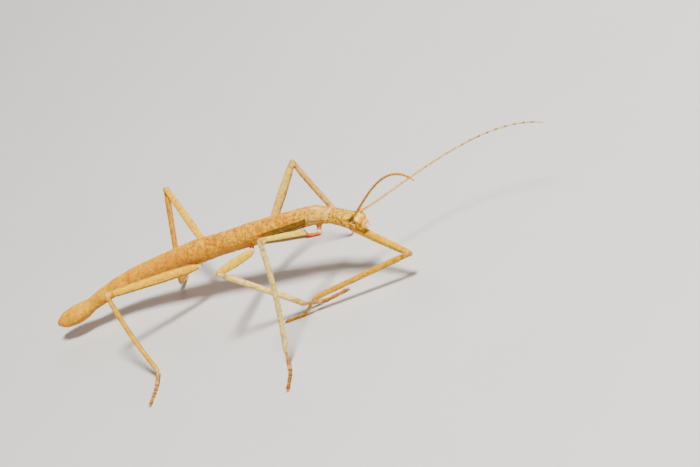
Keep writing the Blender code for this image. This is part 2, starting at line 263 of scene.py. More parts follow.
class Grain:
    """Smooth noise from -1 to 1 over two coordinates. The second one may close on itself."""

    def __init__(self, seed, around=64):
        self.values = np.random.default_rng(seed).uniform(-1.0, 1.0, (GRAIN_LENGTH, around))
        self.around = around

    def __call__(self, x, y):
        x, y = np.broadcast_arrays(x, y)
        i, j = np.floor(x).astype(int), np.floor(y).astype(int)
        u, v = x - i, y - j
        u, v = u * u * (3 - 2 * u), v * v * (3 - 2 * v)
        pick = lambda a, b: self.values[a % GRAIN_LENGTH, b % self.around]
        low = pick(i, j) * (1 - u) + pick(i + 1, j) * u
        high = pick(i, j + 1) * (1 - u) + pick(i + 1, j + 1) * u
        return low * (1 - v) + high * v


# ---- the spine, and places on it -----------------------------------------------------------------


def make_spine():
    forward = np.arange(round(HEAD_END / SPINE_STEP)) * SPINE_STEP + SPINE_STEP / 2
    back = -np.arange(round(-TAIL_END / SPINE_STEP)) * SPINE_STEP - SPINE_STEP / 2
    start = np.array((0.0, 0.0, AXIS_HEIGHT))
    ahead = start + np.cumsum(heading(forward) * SPINE_STEP, axis=0)
    behind = start - np.cumsum(heading(back) * SPINE_STEP, axis=0)
    stations = np.concatenate([back[::-1] - SPINE_STEP / 2, [0.0], forward + SPINE_STEP / 2])
    return stations, np.vstack([behind[::-1], start, ahead])


def heading(station):
    return direction(table(HEADINGS, station, 2), table(HEADINGS, station, 1))


SPINE_STATIONS, SPINE_POINTS = make_spine()


def body_frame(station):
    """The spine's points at stations, with their forward, left and up directions."""
    station = np.asarray(station, float)
    point = np.stack([np.interp(station, SPINE_STATIONS, SPINE_POINTS[:, k]) for k in range(3)], -1)
    forward = heading(station)
    left = unit(np.cross(UP, forward))
    return point, forward, left, np.cross(forward, left)


def head_place(ahead, out, over, side):
    point, forward, left, up = body_frame(HEAD_END)
    return point + forward * (ahead - (HEAD_END - NECK)) + left * out * side + up * over


eye_low, eye_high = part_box("eye_right")
SHIFT = np.array((eye_low + eye_high) / 2) / MM - head_place(*EYE_PLACE, -1)


def to_row(points):
    """Design millimetres to metres in the row frame."""
    return (np.asarray(points) + SHIFT) * MM


# ---- meshes --------------------------------------------------------------------------------------


def add_object(name, data):
    obj = bpy.data.objects.new(name, data)
    bpy.context.scene.collection.objects.link(obj)
    return obj


def make_object(name, points, faces, maps=None):
    """A mesh from design points and a list of faces. maps gives a value pair per face corner."""
    mesh = bpy.data.meshes.new(name)
    mesh.from_pydata(to_row(points).tolist(), [], faces)
    for title, values in (maps or {}).items():
        fill(mesh.uv_layers.new(name=title).data, "uv", values)
    mesh.shade_smooth()
    return add_object(name, mesh)


def fill(data, name, values):
    """Sets one value of everything in a mesh's layer."""
    data.foreach_set(name, np.asarray(values, np.float32).ravel())


def read(data, name, width, kind=np.float32):
    """One value of everything in a mesh's layer, as rows of a width."""
    values = np.zeros(len(data) * width, kind)
    data.foreach_get(name, values)
    return values.reshape(-1, width)


def shell_faces(rings, sides):
    """Faces of a closed tube: rings of points, then one point for the first end and one for the last."""
    i, j = np.meshgrid(np.arange(rings - 1), np.arange(sides), indexing="ij")
    k = (j + 1) % sides
    quads = np.stack([i * sides + j, i * sides + k, (i + 1) * sides + k, (i + 1) * sides + j], -1)
    side, last = np.arange(sides), (rings - 1) * sides
    after = (side + 1) % sides
    first_end = np.stack([after, side, np.full(sides, rings * sides)], -1)
    last_end = np.stack([last + side, last + after, np.full(sides, rings * sides + 1)], -1)
    return quads.reshape(-1, 4).tolist() + first_end.tolist() + last_end.tolist()


class Tube:
    """Rings of points round a line, closed at both ends by domes, with each ring's own directions."""

    def __init__(self, part, line, out, over, sides, along, frames=None, dome=(0.5, 0.5)):
        """line: the centre of each ring. out, over: half sizes, by ring, or by ring and side.
        along: what each ring's place is called. dome: how far each end bulges, as a share of out."""
        self.part, self.sides = part, sides
        if frames is None:
            tangent = unit(np.gradient(line, axis=0))
            left = unit(np.cross(UP, tangent))
            frames = tangent, left, np.cross(tangent, left)
        out, over = (np.broadcast_to(np.asarray(v, float).reshape(len(line), -1), (len(line), sides))
                     for v in (out, over))
        rise = np.linspace(0.0, 1.0, DOME_RINGS + 2)[1:-1] * math.pi / 2
        first = [(0, -math.sin(a) * dome[0], math.cos(a)) for a in rise[::-1]]
        last = [(-1, math.sin(a) * dome[1], math.cos(a)) for a in rise]
        pick, reach, size = zip(*first, *((k, 0.0, 1.0) for k in range(len(line))), *last)
        pick, reach, size = list(pick), np.array(reach), np.array(size)
        width = out[pick].mean(axis=1)
        self.tangent, self.left, up = (v[pick] for v in frames)
        self.centre = line[pick] + self.tangent * (reach * width)[:, None]
        self.along = np.asarray(along, float)[pick]
        self.turn = np.arange(sides) / sides
        cos, sin = np.cos(self.turn * TAU), np.sin(self.turn * TAU)
        out, over = out[pick] * size[:, None], over[pick] * size[:, None]
        side_dir, up_dir = self.left[:, None], up[:, None]
        self.points = (self.centre[:, None] + side_dir * (cos * out)[..., None]
                       + up_dir * (sin * over)[..., None])
        self.normal = unit(side_dir * (cos / np.maximum(out, 1e-3))[..., None]
                           + up_dir * (sin / np.maximum(over, 1e-3))[..., None])
        left_over = 1 - math.sin(rise[-1])
        self.ends = np.array([self.centre[0] - self.tangent[0] * width[0] * dome[0] * left_over,
                              self.centre[-1] + self.tangent[-1] * width[-1] * dome[1] * left_over])

    def raise_by(self, amount):
        self.points = self.points + self.normal * np.asarray(amount)[..., None]

    def on_floor(self):
        """The same tube, with nothing below the floor."""
        self.points[..., 2] = np.maximum(self.points[..., 2], 0.0)
        return self

    def places(self, ring, turn, forward=1):
        """Part, along, turn, point, normal and direction at ring numbers and turns."""
        side = np.round(np.asarray(turn) * self.sides).astype(int) % self.sides
        return (np.full(len(ring), self.part), self.along[ring], self.turn[side], self.points[ring, side],
                self.normal[ring, side], self.tangent[ring] * forward)

    def data(self):
        """Vertices, faces and each corner's place: along and turn, and part number and a blank."""
        rings, sides = self.points.shape[:2]
        i, j = np.meshgrid(np.arange(rings - 1), np.arange(sides), indexing="ij")
        turn, after = j / sides, (j + 1) / sides
        a, b = self.along[i], self.along[i + 1]
        where = np.stack([np.stack(c, -1) for c in ((a, turn), (a, after), (b, after), (b, turn))], -2)
        corners = [where.reshape(-1, 2)]
        t0, t1 = np.arange(sides) / sides, (np.arange(sides) + 1) / sides
        for at, order in ((self.along[0], (t1, t0)), (self.along[-1], (t0, t1))):
            fan = [np.stack([np.full(sides, at), t], -1) for t in (*order, (t0 + t1) / 2)]
            corners.append(np.stack(fan, 1).reshape(-1, 2))
        corners = np.concatenate(corners)
        which = np.stack([np.full(len(corners), float(self.part)), np.zeros(len(corners))], -1)
        return np.vstack([self.points.reshape(-1, 3), self.ends]), shell_faces(rings, sides), corners, which


def joined(name, tubes, keep_places=True):
    """One object that holds several tubes, each a closed body of its own."""
    points, faces, where, which, base = [], [], [], [], 0
    for tube in tubes:
        p, f, w, n = tube.data()
        points.append(p)
        faces += [[v + base for v in face] for face in f]
        where.append(w)
        which.append(n)
        base += len(p)
    maps = {"where": np.concatenate(where), "which": np.concatenate(which)} if keep_places else None
    return make_object(name, np.concatenate(points), faces, maps)


def unite(base, other):
    """Joins other to base as one closed body, and removes other."""
    modifier = base.modifiers.new("join", "BOOLEAN")
    modifier.operation, modifier.solver, modifier.object = "UNION", "MANIFOLD", other
    graph = bpy.context.evaluated_depsgraph_get()
    made = bpy.data.meshes.new_from_object(base.evaluated_get(graph))
    base.modifiers.clear()
    base.data = made
    bpy.data.objects.remove(other)


# ---- the atlas: an unwrap of the skin, one strip for each part -----------------------------------

ATLAS_SIDE = 84.0  # millimetres of skin across the whole map
STRIPS = []  # part name, first along, width round, left edge, lower edge


def add_strip(name, start, round_, left, low):
    STRIPS.append((name, start, round_, left, low))
    return len(STRIPS) - 1


def atlas(part, along, turn):
    """Where a place on a part lies on the map."""
    rows = np.array([row[1:] for row in STRIPS])[np.asarray(part, int)]
    start, round_, left, low = (rows[..., k] for k in range(4))
    return np.stack([(left + along - start) / ATLAS_SIDE, (low + turn * round_) / ATLAS_SIDE], -1)


TRUNK = add_strip("trunk", TAIL_END - 0.5, 14.5, 1.0, 1.0)
LEG_STRIPS = (("coxa", 4.0, 1.0), ("femur", 5.0, 6.0), ("tibia", 3.4, 29.0), ("tarsus", 2.6, 53.0))
LEG_PARTS = {
    leg: {segment: add_strip(segment + "_" + leg, -0.5, round_, left, 17.0 + row * 6.2)
          for segment, round_, left in LEG_STRIPS}
    for row, leg in enumerate(LEGS)
}
ANTENNA_PARTS = {name: add_strip("antenna_" + name, -0.5, 1.9, 1.0 + 41.0 * k, 55.0)
                 for k, name in enumerate(ANTENNAE)}
MOUTH_PARTS = {name: add_strip(name, -0.5, 4.0, 1.0 + 6.0 * k, 59.0)
               for k, name in enumerate(("labrum", "mandible_left", "mandible_right", "palp_left",
                                         "palp_right", "cercus_left", "cercus_right", "lip"))}


# ---- the trunk -----------------------------------------------------------------------------------


def smooth_outline(station, column):
    grid = np.arange(TAIL_END - 2, HEAD_END + 2, SPINE_STEP)
    values = table(OUTLINE, grid, column)
    reach = np.arange(-SMOOTHING, SMOOTHING + 1) * SPINE_STEP
    weights = bell(reach, 0.55)
    smooth = np.convolve(np.pad(values, SMOOTHING, mode="edge"), weights / weights.sum(), mode="valid")
    return np.interp(station, grid, smooth)


def plate_edge(station, at, lip, fold):
    """The raised rear edge of a plate, and the fold behind it."""
    x = station - at
    return (lip * np.exp(-np.abs(x) / 0.6) * step(x, -0.12, 0.06)
            - fold * bell(x + 0.16, 0.2))


def back_share(turn):
    """1 over the back, less down the flanks, and 0 below."""
    return step(turn_gap(turn, UNDERSIDE), 60.0, 120.0)


def neck_places(station, turn):
    """Stations as the prothorax's rear and front margins see them: both stand forward on the back."""
    back = back_share(turn)
    return station - MESO_RIM * back, station - HEAD_RIM * back


RIM_GRAIN, WRINKLE, LUMPS = Grain(3, 40), Grain(5, 58), Grain(8, 40)


def thorax_lumps(s, t):
    return LUMPS(s * 2.6, t * 40)


def neck_wrinkles(s, t):
    return WRINKLE(s * 0.7, t * 58)


def belly_wrinkles(s, t):
    return WRINKLE(s * 0.45 + 7, t * 46)


def head_grains(station, turn):
    """The head's coarse and fine lumps."""
    return LUMPS(station * 3.2 + 30, turn * 30), LUMPS(station * 6 + 90, turn * 52)


def trunk_relief(station, turn):
    """How far the skin of the trunk stands over its plain loft, in millimetres."""
    s, t = np.broadcast_arrays(station, turn)
    top, lower = turn_gap(t, TOP), turn_gap(t, UNDERSIDE)
    rear, front = neck_places(s, t)
    rise = np.zeros(s.shape)
    for at in ABDOMEN_JOINTS:
        rise += plate_edge(s, at, 0.045, 0.04) * (1 - 0.5 * step(40 - lower, 0, 30))
    for at in THORAX_JOINTS:
        rise += plate_edge(s, at, 0.045, 0.06)
    thorax = step(s, -15.5, -14.2) * fade(rear, 14.3, 14.8)
    meso = step(s, -1.2, -0.6) * fade(rear, 14.3, 14.8)
    abdomen = fade(s, -15.5, -14.5)
    prothorax = step(rear, 15.0, 15.4) * fade(front, 18.7, 19.1)
    head = step(front, 19.2, 19.8)
    # Raised rims before and behind the pronotum, with a fold between each and its neighbour.
    knobs = 1 + 0.4 * RIM_GRAIN(s * 0.2, t * 40)
    rise += 0.15 * bell(rear - MESO_RIM_AT, 0.15) * knobs - 0.13 * bell(rear - MESO_FOLD_AT, 0.12)
    rise += 0.025 * bell(rear - 15.35, 0.14) * knobs
    rise += 0.1 * bell(front - HEAD_RIM_AT, 0.12) * (1 + 0.25 * RIM_GRAIN(s * 0.2 + 9, t * 34))
    rise -= 0.12 * bell(front - HEAD_FOLD_AT, 0.11)
    # The pronotum's cross of grooves and its fine lengthwise wrinkles.
    rise -= prothorax * 0.05 * bell(s - 17.9, 0.16) * step(95 - top, 0, 25)
    rise -= prothorax * 0.045 * bell(top, 4.0)
    wrinkles = 0.042 * neck_wrinkles(s, t) + 0.035 * LUMPS(s * 2.2, t * 34)
    rise += prothorax * wrinkles * step(125 - top, 0, 30)
    # Keels: one along the back, two along the flanks of the thorax.
    rise += (0.05 * thorax + 0.03 * abdomen * fade(-s, 46.0, 48.0)) * bell(top, 3.6)
    rise += 0.11 * meso * step(s, 2.5, 6.0) * bell(pair_gap(t, RIDGE_TURN), 5.0)
    seam = pair_gap(t, 0.545)
    rise -= 0.09 * meso * bell(seam - 12, 5.0) * step(s, -1.0, 1.0)
    rise += 0.05 * thorax * (1 - meso) * bell(seam, 6.0)
    rise -= 0.07 * (thorax * (1 - meso) + abdomen) * bell(pair_gap(t, 0.575), 4.5)
    # Plates of the underside: a flat strip down the middle between two low folds.
    rise -= 0.04 * (thorax + abdomen) * bell(pair_gap(t, 0.66), 5.0)
    # Lengthwise wrinkles on the abdomen, and a fine uneven surface on the thorax.
    rise += abdomen * (0.016 * belly_wrinkles(s, t) + 0.012 * WRINKLE(s * 1.3, t * 26))
    rise += thorax * (0.055 * thorax_lumps(s, t) + 0.022 * LUMPS(s * 0.9 + 50, t * 14))
    rise += 0.03 * LUMPS(s * 0.35 + 20, t * 6) * (1 - head)
    # The last segments: a waist before them, a keeled plate under the tail and a cleft along its flanks.
    rise -= 0.13 * bell(s + 42.8, 1.0)
    tail = fade(s, -46.5, -44.0)
    rise += 0.1 * tail * bell(lower, 16.0)
    rise -= 0.12 * tail * bell(pair_gap(t, 0.6), 6.0)
    return rise


def head_axes(points):
    """Places of the head: ahead of the neck, to the left, and over its axis."""
    origin, forward, left, up = body_frame(HEAD_END)
    local = points - (origin - forward * (HEAD_END - NECK))
    return local @ forward, local @ left, local @ up


def eye_gap(a, side, v):
    """1 on the rim of an eye, less inside it and more outside."""
    return np.sqrt(((a - EYE_PLACE[0]) / EYE_RADII[0]) ** 2 + ((side - EYE_PLACE[1]) / EYE_WIDTH) ** 2
                   + ((v - EYE_PLACE[2]) / EYE_RADII[2]) ** 2)


def socket_gap(a, side, v):
    """How far from the middle of a feeler's socket."""
    return np.sqrt((a - ANTENNA_ROOT[0] - 0.05) ** 2 + (side - ANTENNA_ROOT[1] - 0.05) ** 2
                   + (v - ANTENNA_ROOT[2] - 0.1) ** 2)


def head_relief(points, station, turn):
    a, o, v = head_axes(points)
    side = np.abs(o)
    head = step(neck_places(station, turn)[1], 19.4, 19.8)
    rise = np.zeros(a.shape)
    eye = eye_gap(a, side, v)
    rise += 0.1 * bell(eye - 1.2, 0.16) - 0.16 * bell(eye, 0.75)
    root = socket_gap(a, side, v)
    rise += 0.14 * bell(root - 0.42, 0.12) - 0.1 * bell(root, 0.3)
    # A brow from each feeler's socket back along the crown, and the swellings behind it.
    back = fade(a, 4.2, 4.8)
    rise += 0.08 * bell(side - 0.95 + 0.04 * (a - 4), 0.22) * step(v, 0.3, 0.8) * step(a, 1.6, 2.8) * back
    rise += 0.09 * bell(a - 3.5, 0.8) * bell(side - 0.55, 0.35) * step(v, 0.4, 0.9)
    rise += 0.08 * bell(a - 1.6, 0.6) * bell(side - 0.7, 0.45) * step(v, 0.2, 0.8)
    rise -= 0.06 * bell(o, 0.09) * step(v, 0.3, 0.8) * step(a, 0.9, 1.4) * fade(a, 4.6, 5.2)
    # The seam under each cheek, and the cheek's fold behind the jaw.
    rise -= 0.07 * bell(v + 0.5, 0.1) * step(side, 0.8, 1.1) * fade(a, 5.2, 5.7)
    rise += 0.05 * bell(v + 0.8, 0.22) * step(side, 0.7, 1.0) * fade(a, 5.2, 5.7)
    rise -= 0.08 * bell(a - 6.45 + 0.35 * (v + 0.2), 0.1) * step(side, 0.75, 1.0) * fade(v, 0.1, 0.4)
    # The face: hollow between the feelers, a frons with a raised lower edge, then the clypeus.
    face = step(v, -0.3, 0.1)
    rise -= 0.12 * bell(o, 0.32) * bell(a - 5.2, 0.45) * step(v, 0.3, 0.8)
    rise += 0.05 * bell(side - 0.32, 0.14) * bell(a - 5.6, 0.5) * step(v, 0.3, 0.8)
    rise += 0.08 * bell(a - 6.3, 0.1) * face - 0.12 * bell(a - FACE_FOLD, 0.07) * face
    rise += 0.03 * bell(a - 6.62, 0.1) * face - 0.1 * bell(a - LIP_FOLD, 0.07) * face
    for depth, grain in zip((0.036, 0.024), head_grains(station, turn)):
        rise += depth * grain * (1 - 0.6 * step(a, 6.3, 6.5))
    return rise * head


def make_trunk():
    rear = np.arange(TAIL_END + 0.3, NECK, TRUNK_STEP)
    stations = np.concatenate([rear, np.arange(NECK, HEAD_END - 0.1, HEAD_STEP)])
    point, forward, left, up = body_frame(stations)
    turn = np.arange(TRUNK_SIDES) / TRUNK_SIDES
    half_width = smooth_outline(stations, 1)[:, None] / 2 - INSET
    half_height = smooth_outline(stations, 2)[:, None] / 2 - INSET
    below = np.where(np.sin(turn * TAU) < 0, BELLY, 1.0)
    tube = Tube(TRUNK, point, half_width, half_height * below, TRUNK_SIDES, stations,
                frames=(forward, left, up), dome=(0.75, 0.32))
    tube.raise_by(trunk_relief(tube.along[:, None], tube.turn[None])
                  + head_relief(tube.points, tube.along[:, None], tube.turn[None]))
    return tube


# ---- legs ----------------------------------------------------------------------------------------


def leg_places(leg):
    pair = PAIRS[leg["pair"]]
    middle, _, left, up = body_frame(pair["station"] + leg["forward"])
    hip = middle + left * pair["out"] * leg["side"] - up * pair["drop"]
    knee = hip + direction(*leg["femur"]) * pair["femur"]
    fall = knee[2] - leg["ankle"]
    reach = math.sqrt(pair["tibia"] ** 2 - fall**2)
    ankle = knee + direction(leg["tibia"], 0.0) * reach - UP * fall
    return middle, hip, knee, ankle


def bent_line(start, end, spacing, offset, skip_start=0.0, skip_end=0.0):
    """Points from start to end, moved to the line's left and up by what offset gives."""
    along = unit(end - start)
    start, end = start + along * skip_start, end - along * skip_end
    length = np.linalg.norm(end - start)
    t = np.linspace(0.0, 1.0, math.ceil(length / spacing) + 1)
    left = unit(np.cross(UP, along))
    aside, over = offset(t)
    line = start + (end - start) * t[:, None]
    return (line + left * np.asarray(aside).reshape(-1, 1)
            + np.cross(along, left) * np.asarray(over).reshape(-1, 1)), t, t * length


def ribbed(radius, turn, depth):
    """A section with low ribs along it, as half sizes."""
    near = np.abs(((turn - FIRST_RIB) * RIBS + 0.5) % 1.0 - 0.5) / RIBS * 360
    return radius * (1 - depth * 0.55 + depth * bell(near, 11.0))


THIGH_SIZES = {  # half widths, by share of the femur
    "front": ((0.0, 0.32), (0.05, 0.36), (0.2, 0.4), (0.245, 0.5), (0.268, 0.75), (0.6, 0.71), (0.9, 0.58),
              (0.95, 0.58), (1.0, 0.36)),
    "middle": ((0.0, 0.37), (0.1, 0.69), (0.5, 0.82), (0.88, 0.64), (0.95, 0.62), (1.0, 0.38)),
    "hind": ((0.0, 0.37), (0.1, 0.71), (0.4, 0.82), (0.9, 0.64), (0.95, 0.62), (1.0, 0.38)),
}


def make_leg(name):
    """The tubes of one leg, from the coxa to the foot."""
    leg, parts = LEGS[name], LEG_PARTS[name]
    pair = leg["pair"]
    middle, hip, knee, ankle = leg_places(leg)
    turn = (np.arange(LEG_SIDES) / LEG_SIDES)[None]
    # The coxa swells at its root and ends in the trochanter, a short ring before the femur.
    straight = lambda t: (0 * t, 0 * t)
    line, t, along = bent_line(middle + (hip - middle) * 0.35, hip, 0.13, straight, 0, -0.15)
    size = table(((0.0, 0.56), (0.35, 0.52), (0.6, 0.4), (0.68, 0.34), (0.76, 0.43), (0.92, 0.43),
                  (1.0, 0.36)), t)
    coxa = Tube(parts["coxa"], line, size, size, LEG_SIDES, along, dome=(0.5, 0.7))
    coxa.raise_by(0.1 * LUMPS(coxa.along[:, None] * 2.6 + leg["side"] * 9, coxa.turn[None] * 7))
    # The femur: four ribs, thicker before the middle, with a swollen lobed knee.
    lift = lambda t: (0 * t, table(FEMUR_LIFT[pair], t))
    line, t, along = bent_line(hip, knee, 0.24, lift, 0.2, -0.1)
    size = ribbed(table(THIGH_SIZES[pair], t)[:, None], turn, 0.2)
    femur = Tube(parts["femur"], line, size * 0.94, size * 1.04, LEG_SIDES, along, dome=(0.6, 0.7))
    share = femur.along / femur.along.max()
    fine = 0.014 * LUMPS(femur.along[:, None] * 3 + 11 * leg["side"], femur.turn[None] * 13)
    femur.raise_by(fine * step(share, 0.0, 0.2)[:, None]
                   - 0.07 * bell(share[:, None] - 0.915, 0.012) * np.ones(turn.shape))
    # Two flat lobes beside the knee, square to the plane in which it bends.
    thigh, shin = unit(knee - hip), unit(ankle - knee)
    across = unit(np.cross(shin, thigh))
    lobes = []
    for side in (1, -1):
        ends = np.array([knee - thigh * 1.0, knee + thigh * 0.2]) + across * side * 0.36
        t = np.linspace(0.0, 1.0, 12)
        line = ends[0] + (ends[1] - ends[0]) * t[:, None]
        swell = table(((0.0, 0.24), (0.35, 0.46), (0.8, 0.5), (1.0, 0.3)), t)
        frames = [np.broadcast_to(v, line.shape) for v in (thigh, across, np.cross(thigh, across))]
        lobes.append(Tube(parts["femur"], line, swell * 0.38, swell, 16, along.max() - 1.1 + t * 1.1,
                          frames=frames, dome=(0.5, 0.9)))
    # The tibia: ribbed too, with a bent head under the knee.
    bow = lambda t: [amount * np.sin(math.pi * t) for amount in leg["bow"]]
    line, t, along = bent_line(knee, ankle, 0.24, bow, 0.1, 0.02)
    size = table(((0.0, 0.42), (0.035, 0.47), (0.06, 0.4), (0.12, 0.5), (0.5, 0.475), (0.92, 0.45),
                  (0.97, 0.48), (1.0, 0.35)), t)
    size = ribbed(size[:, None], turn, 0.14)
    tibia = Tube(parts["tibia"], line, size, size, LEG_SIDES, along, dome=(0.7, 0.6))
    tibia.raise_by(0.01 * LUMPS(tibia.along[:, None] * 3 + 31, tibia.turn[None] * 13))
    return [coxa], [femur], lobes, [tibia], [make_tarsus(leg, parts["tarsus"], ankle)]


TARSOMERES = (0.0, 0.4, 0.55, 0.67, 0.77, 1.0)  # shares of the tarsus where its joints are


def tarsus_line(leg, ankle, t):
    flat = direction(leg["tarsus"], 0.0)
    reach = math.sqrt(TARSUS**2 - ankle[2] ** 2)
    slope = np.maximum(0.0, 1.0 - t / FOOT_FLAT)
    line = ankle + flat * (reach * t)[:, None]
    line[:, 2] = FOOT_HEIGHT + (ankle[2] - FOOT_HEIGHT) * slope**1.4
    return line


def make_tarsus(leg, part, ankle):
    """Five tarsomeres, each wider at its far end, with pads below where they meet the floor."""
    t = np.linspace(0.0, 1.0, TARSUS_RINGS)
    line = tarsus_line(leg, ankle, t)
    size, pad = np.zeros(t.shape), np.zeros(t.shape)
    for start, end in zip(TARSOMERES, TARSOMERES[1:]):
        x = (t - start) / (end - start)
        inside = (x >= 0) & (x <= 1)
        swell = 0.23 + 0.11 * step(x, 0.0, 0.9) - 0.09 * step(x, 0.93, 1.0)
        size = np.where(inside, swell, size)
        pad = np.where(inside & (t > 0.3), 0.1 * bell(x - 0.72, 0.25), pad)
    turn = (np.arange(TARSUS_SIDES) / TARSUS_SIDES)[None]
    lower = step(-np.sin(turn * TAU), 0.2, 0.9)
    over = size[:, None] * 0.92 + pad[:, None] * lower * 0.6
    return Tube(part, line, size, over, TARSUS_SIDES, t * TARSUS, dome=(0.6, 0.9)).on_floor()


# ---- feelers -------------------------------------------------------------------------------------

SCAPE_END, PEDICEL_END = 1.75, 2.45
FEELER_SIZES = {"left": 0.92, "right": 1.15}
FEELER_JOINTS = PEDICEL_END + np.cumsum(np.linspace(0.75, 1.95, 25))
FEELER_JOINTS = FEELER_JOINTS[FEELER_JOINTS < ANTENNA_LENGTH - 0.5]


def antenna_line(side, marks):
    feeler = ANTENNAE[side]
    along = (np.arange(round(ANTENNA_LENGTH / SPINE_STEP)) + 0.5) * SPINE_STEP
    t = along / ANTENNA_LENGTH
    azimuth, rise = (sum(c * t**k for k, c in enumerate(feeler[name])) for name in ("azimuth", "rise"))
    start = head_place(*ANTENNA_LINE, feeler["side"])
    to_root = head_place(*ANTENNA_ROOT, feeler["side"]) - start
    points = np.vstack([start, start + np.cumsum(direction(azimuth, rise) * SPINE_STEP, axis=0)])
    lengths = np.arange(len(points)) * SPINE_STEP
    points = points + to_root * np.maximum(0.0, 1.0 - lengths / ROOT_BEND)[:, None]
    first = unit(points[1] - points[0])
    line = np.stack([np.interp(marks, lengths, points[:, k]) for k in range(3)], -1)
    return line + first * np.minimum(marks, 0.0)[:, None]


def make_antenna(side):
    marks = np.arange(-0.25, ANTENNA_LENGTH - 0.1, 0.19)
    line = antenna_line(side, marks)
    size = table(((-0.3, 0.17), (0.0, 0.2), (0.3, 0.18), (0.6, 0.25), (1.5, 0.24), (SCAPE_END, 0.17),
                  (2.0, 0.21), (PEDICEL_END, 0.18), (8.0, 0.17), (20.0, 0.16), (34.0, 0.14),
                  (ANTENNA_LENGTH, 0.1)), marks)
    size = size * FEELER_SIZES[side]
    for joint in FEELER_JOINTS:
        x = marks - joint
        size = size + 0.022 * bell(x + 0.2, 0.18) - 0.03 * bell(x, 0.1)
    return Tube(ANTENNA_PARTS[side], line, size, size, ANTENNA_SIDES, marks, dome=(0.4, 1.2))


# ---- mouth and tail pieces -----------------------------------------------------------------------

PALP_SIZES = ((0.0, 0.15), (0.2, 0.16), (0.24, 0.11), (0.3, 0.15), (0.5, 0.16), (0.54, 0.11),
              (0.6, 0.14), (0.8, 0.15), (0.84, 0.1), (0.9, 0.13), (1.0, 0.09))


def lobe(part, start, end, sizes, sides=28, rings=22, flat=1.0, dome=(0.8, 0.8)):
    """A rounded piece between two places, with its half widths along the way."""
    t = np.linspace(0.0, 1.0, rings)
    line = start + (end - start) * t[:, None]
    size = table(sizes, t)
    length = np.linalg.norm(end - start)
    return Tube(MOUTH_PARTS[part], line, size, size * flat, sides, t * length, dome=dome)


def make_mouth():
    """The lip over the mouth, the jaws and feeler-like palps beside it, and the lower lip."""
    labrum = lobe("labrum", head_place(6.95, 0.0, 0.2, 1), head_place(7.42, 0.0, -0.42, 1),
                  ((0.0, 0.56), (0.3, 0.68), (0.75, 0.66), (1.0, 0.52)), sides=36, rings=26, flat=0.55,
                  dome=(0.6, 0.4))
    out = (labrum.points - labrum.centre[:, None]) @ labrum.left[0]
    labrum.raise_by(-0.1 * bell(out, 0.14) * step(labrum.along, 0.75, 0.95)[:, None]
                    - 0.05 * bell(labrum.along - 0.3, 0.05)[:, None])
    pieces = []
    for name, side in (("left", 1), ("right", -1)):
        pieces.append(lobe("mandible_" + name, head_place(6.15, 0.8, -0.3, side),
                           head_place(7.05, 0.3, -0.6, side),
                           ((0.0, 0.34), (0.3, 0.4), (0.7, 0.32), (1.0, 0.18)), flat=0.85))
        pieces.append(lobe("palp_" + name, head_place(5.8, 0.5, -0.72, side),
                           head_place(6.7, 0.6, -1.3, side), PALP_SIZES, sides=12, rings=40))
    lip = lobe("lip", head_place(5.6, 0.0, -0.72, 1), head_place(6.95, 0.0, -0.95, 1),
               ((0.0, 0.42), (0.6, 0.38), (1.0, 0.26)), flat=0.5)
    return [labrum], pieces, [lip]


def make_cerci():
    _, forward, left, up = body_frame(TAIL_END)
    base = body_frame(-50.7)[0]
    made = []
    for name, side in (("left", 1), ("right", -1)):
        start = base + left * 0.42 * side - up * 0.15
        end = start - forward * 0.95 + left * 0.06 * side - up * 0.08
        made.append(lobe("cercus_" + name, start, end, ((0.0, 0.2), (0.6, 0.17), (1.0, 0.09)),
                         sides=14, rings=14))
    return made


# ---- markings and painted shade ------------------------------------------------------------------

BLOTCH, PATCH, MOTTLE = Grain(21, 24), Grain(22, 16), Grain(23, 40)


def paint(colour, *coats):
    """Lays pigments over a colour, one after the other, each as far as its share says."""
    for pigment, share in coats:
        colour = mix(colour, pigment, share)
    return colour


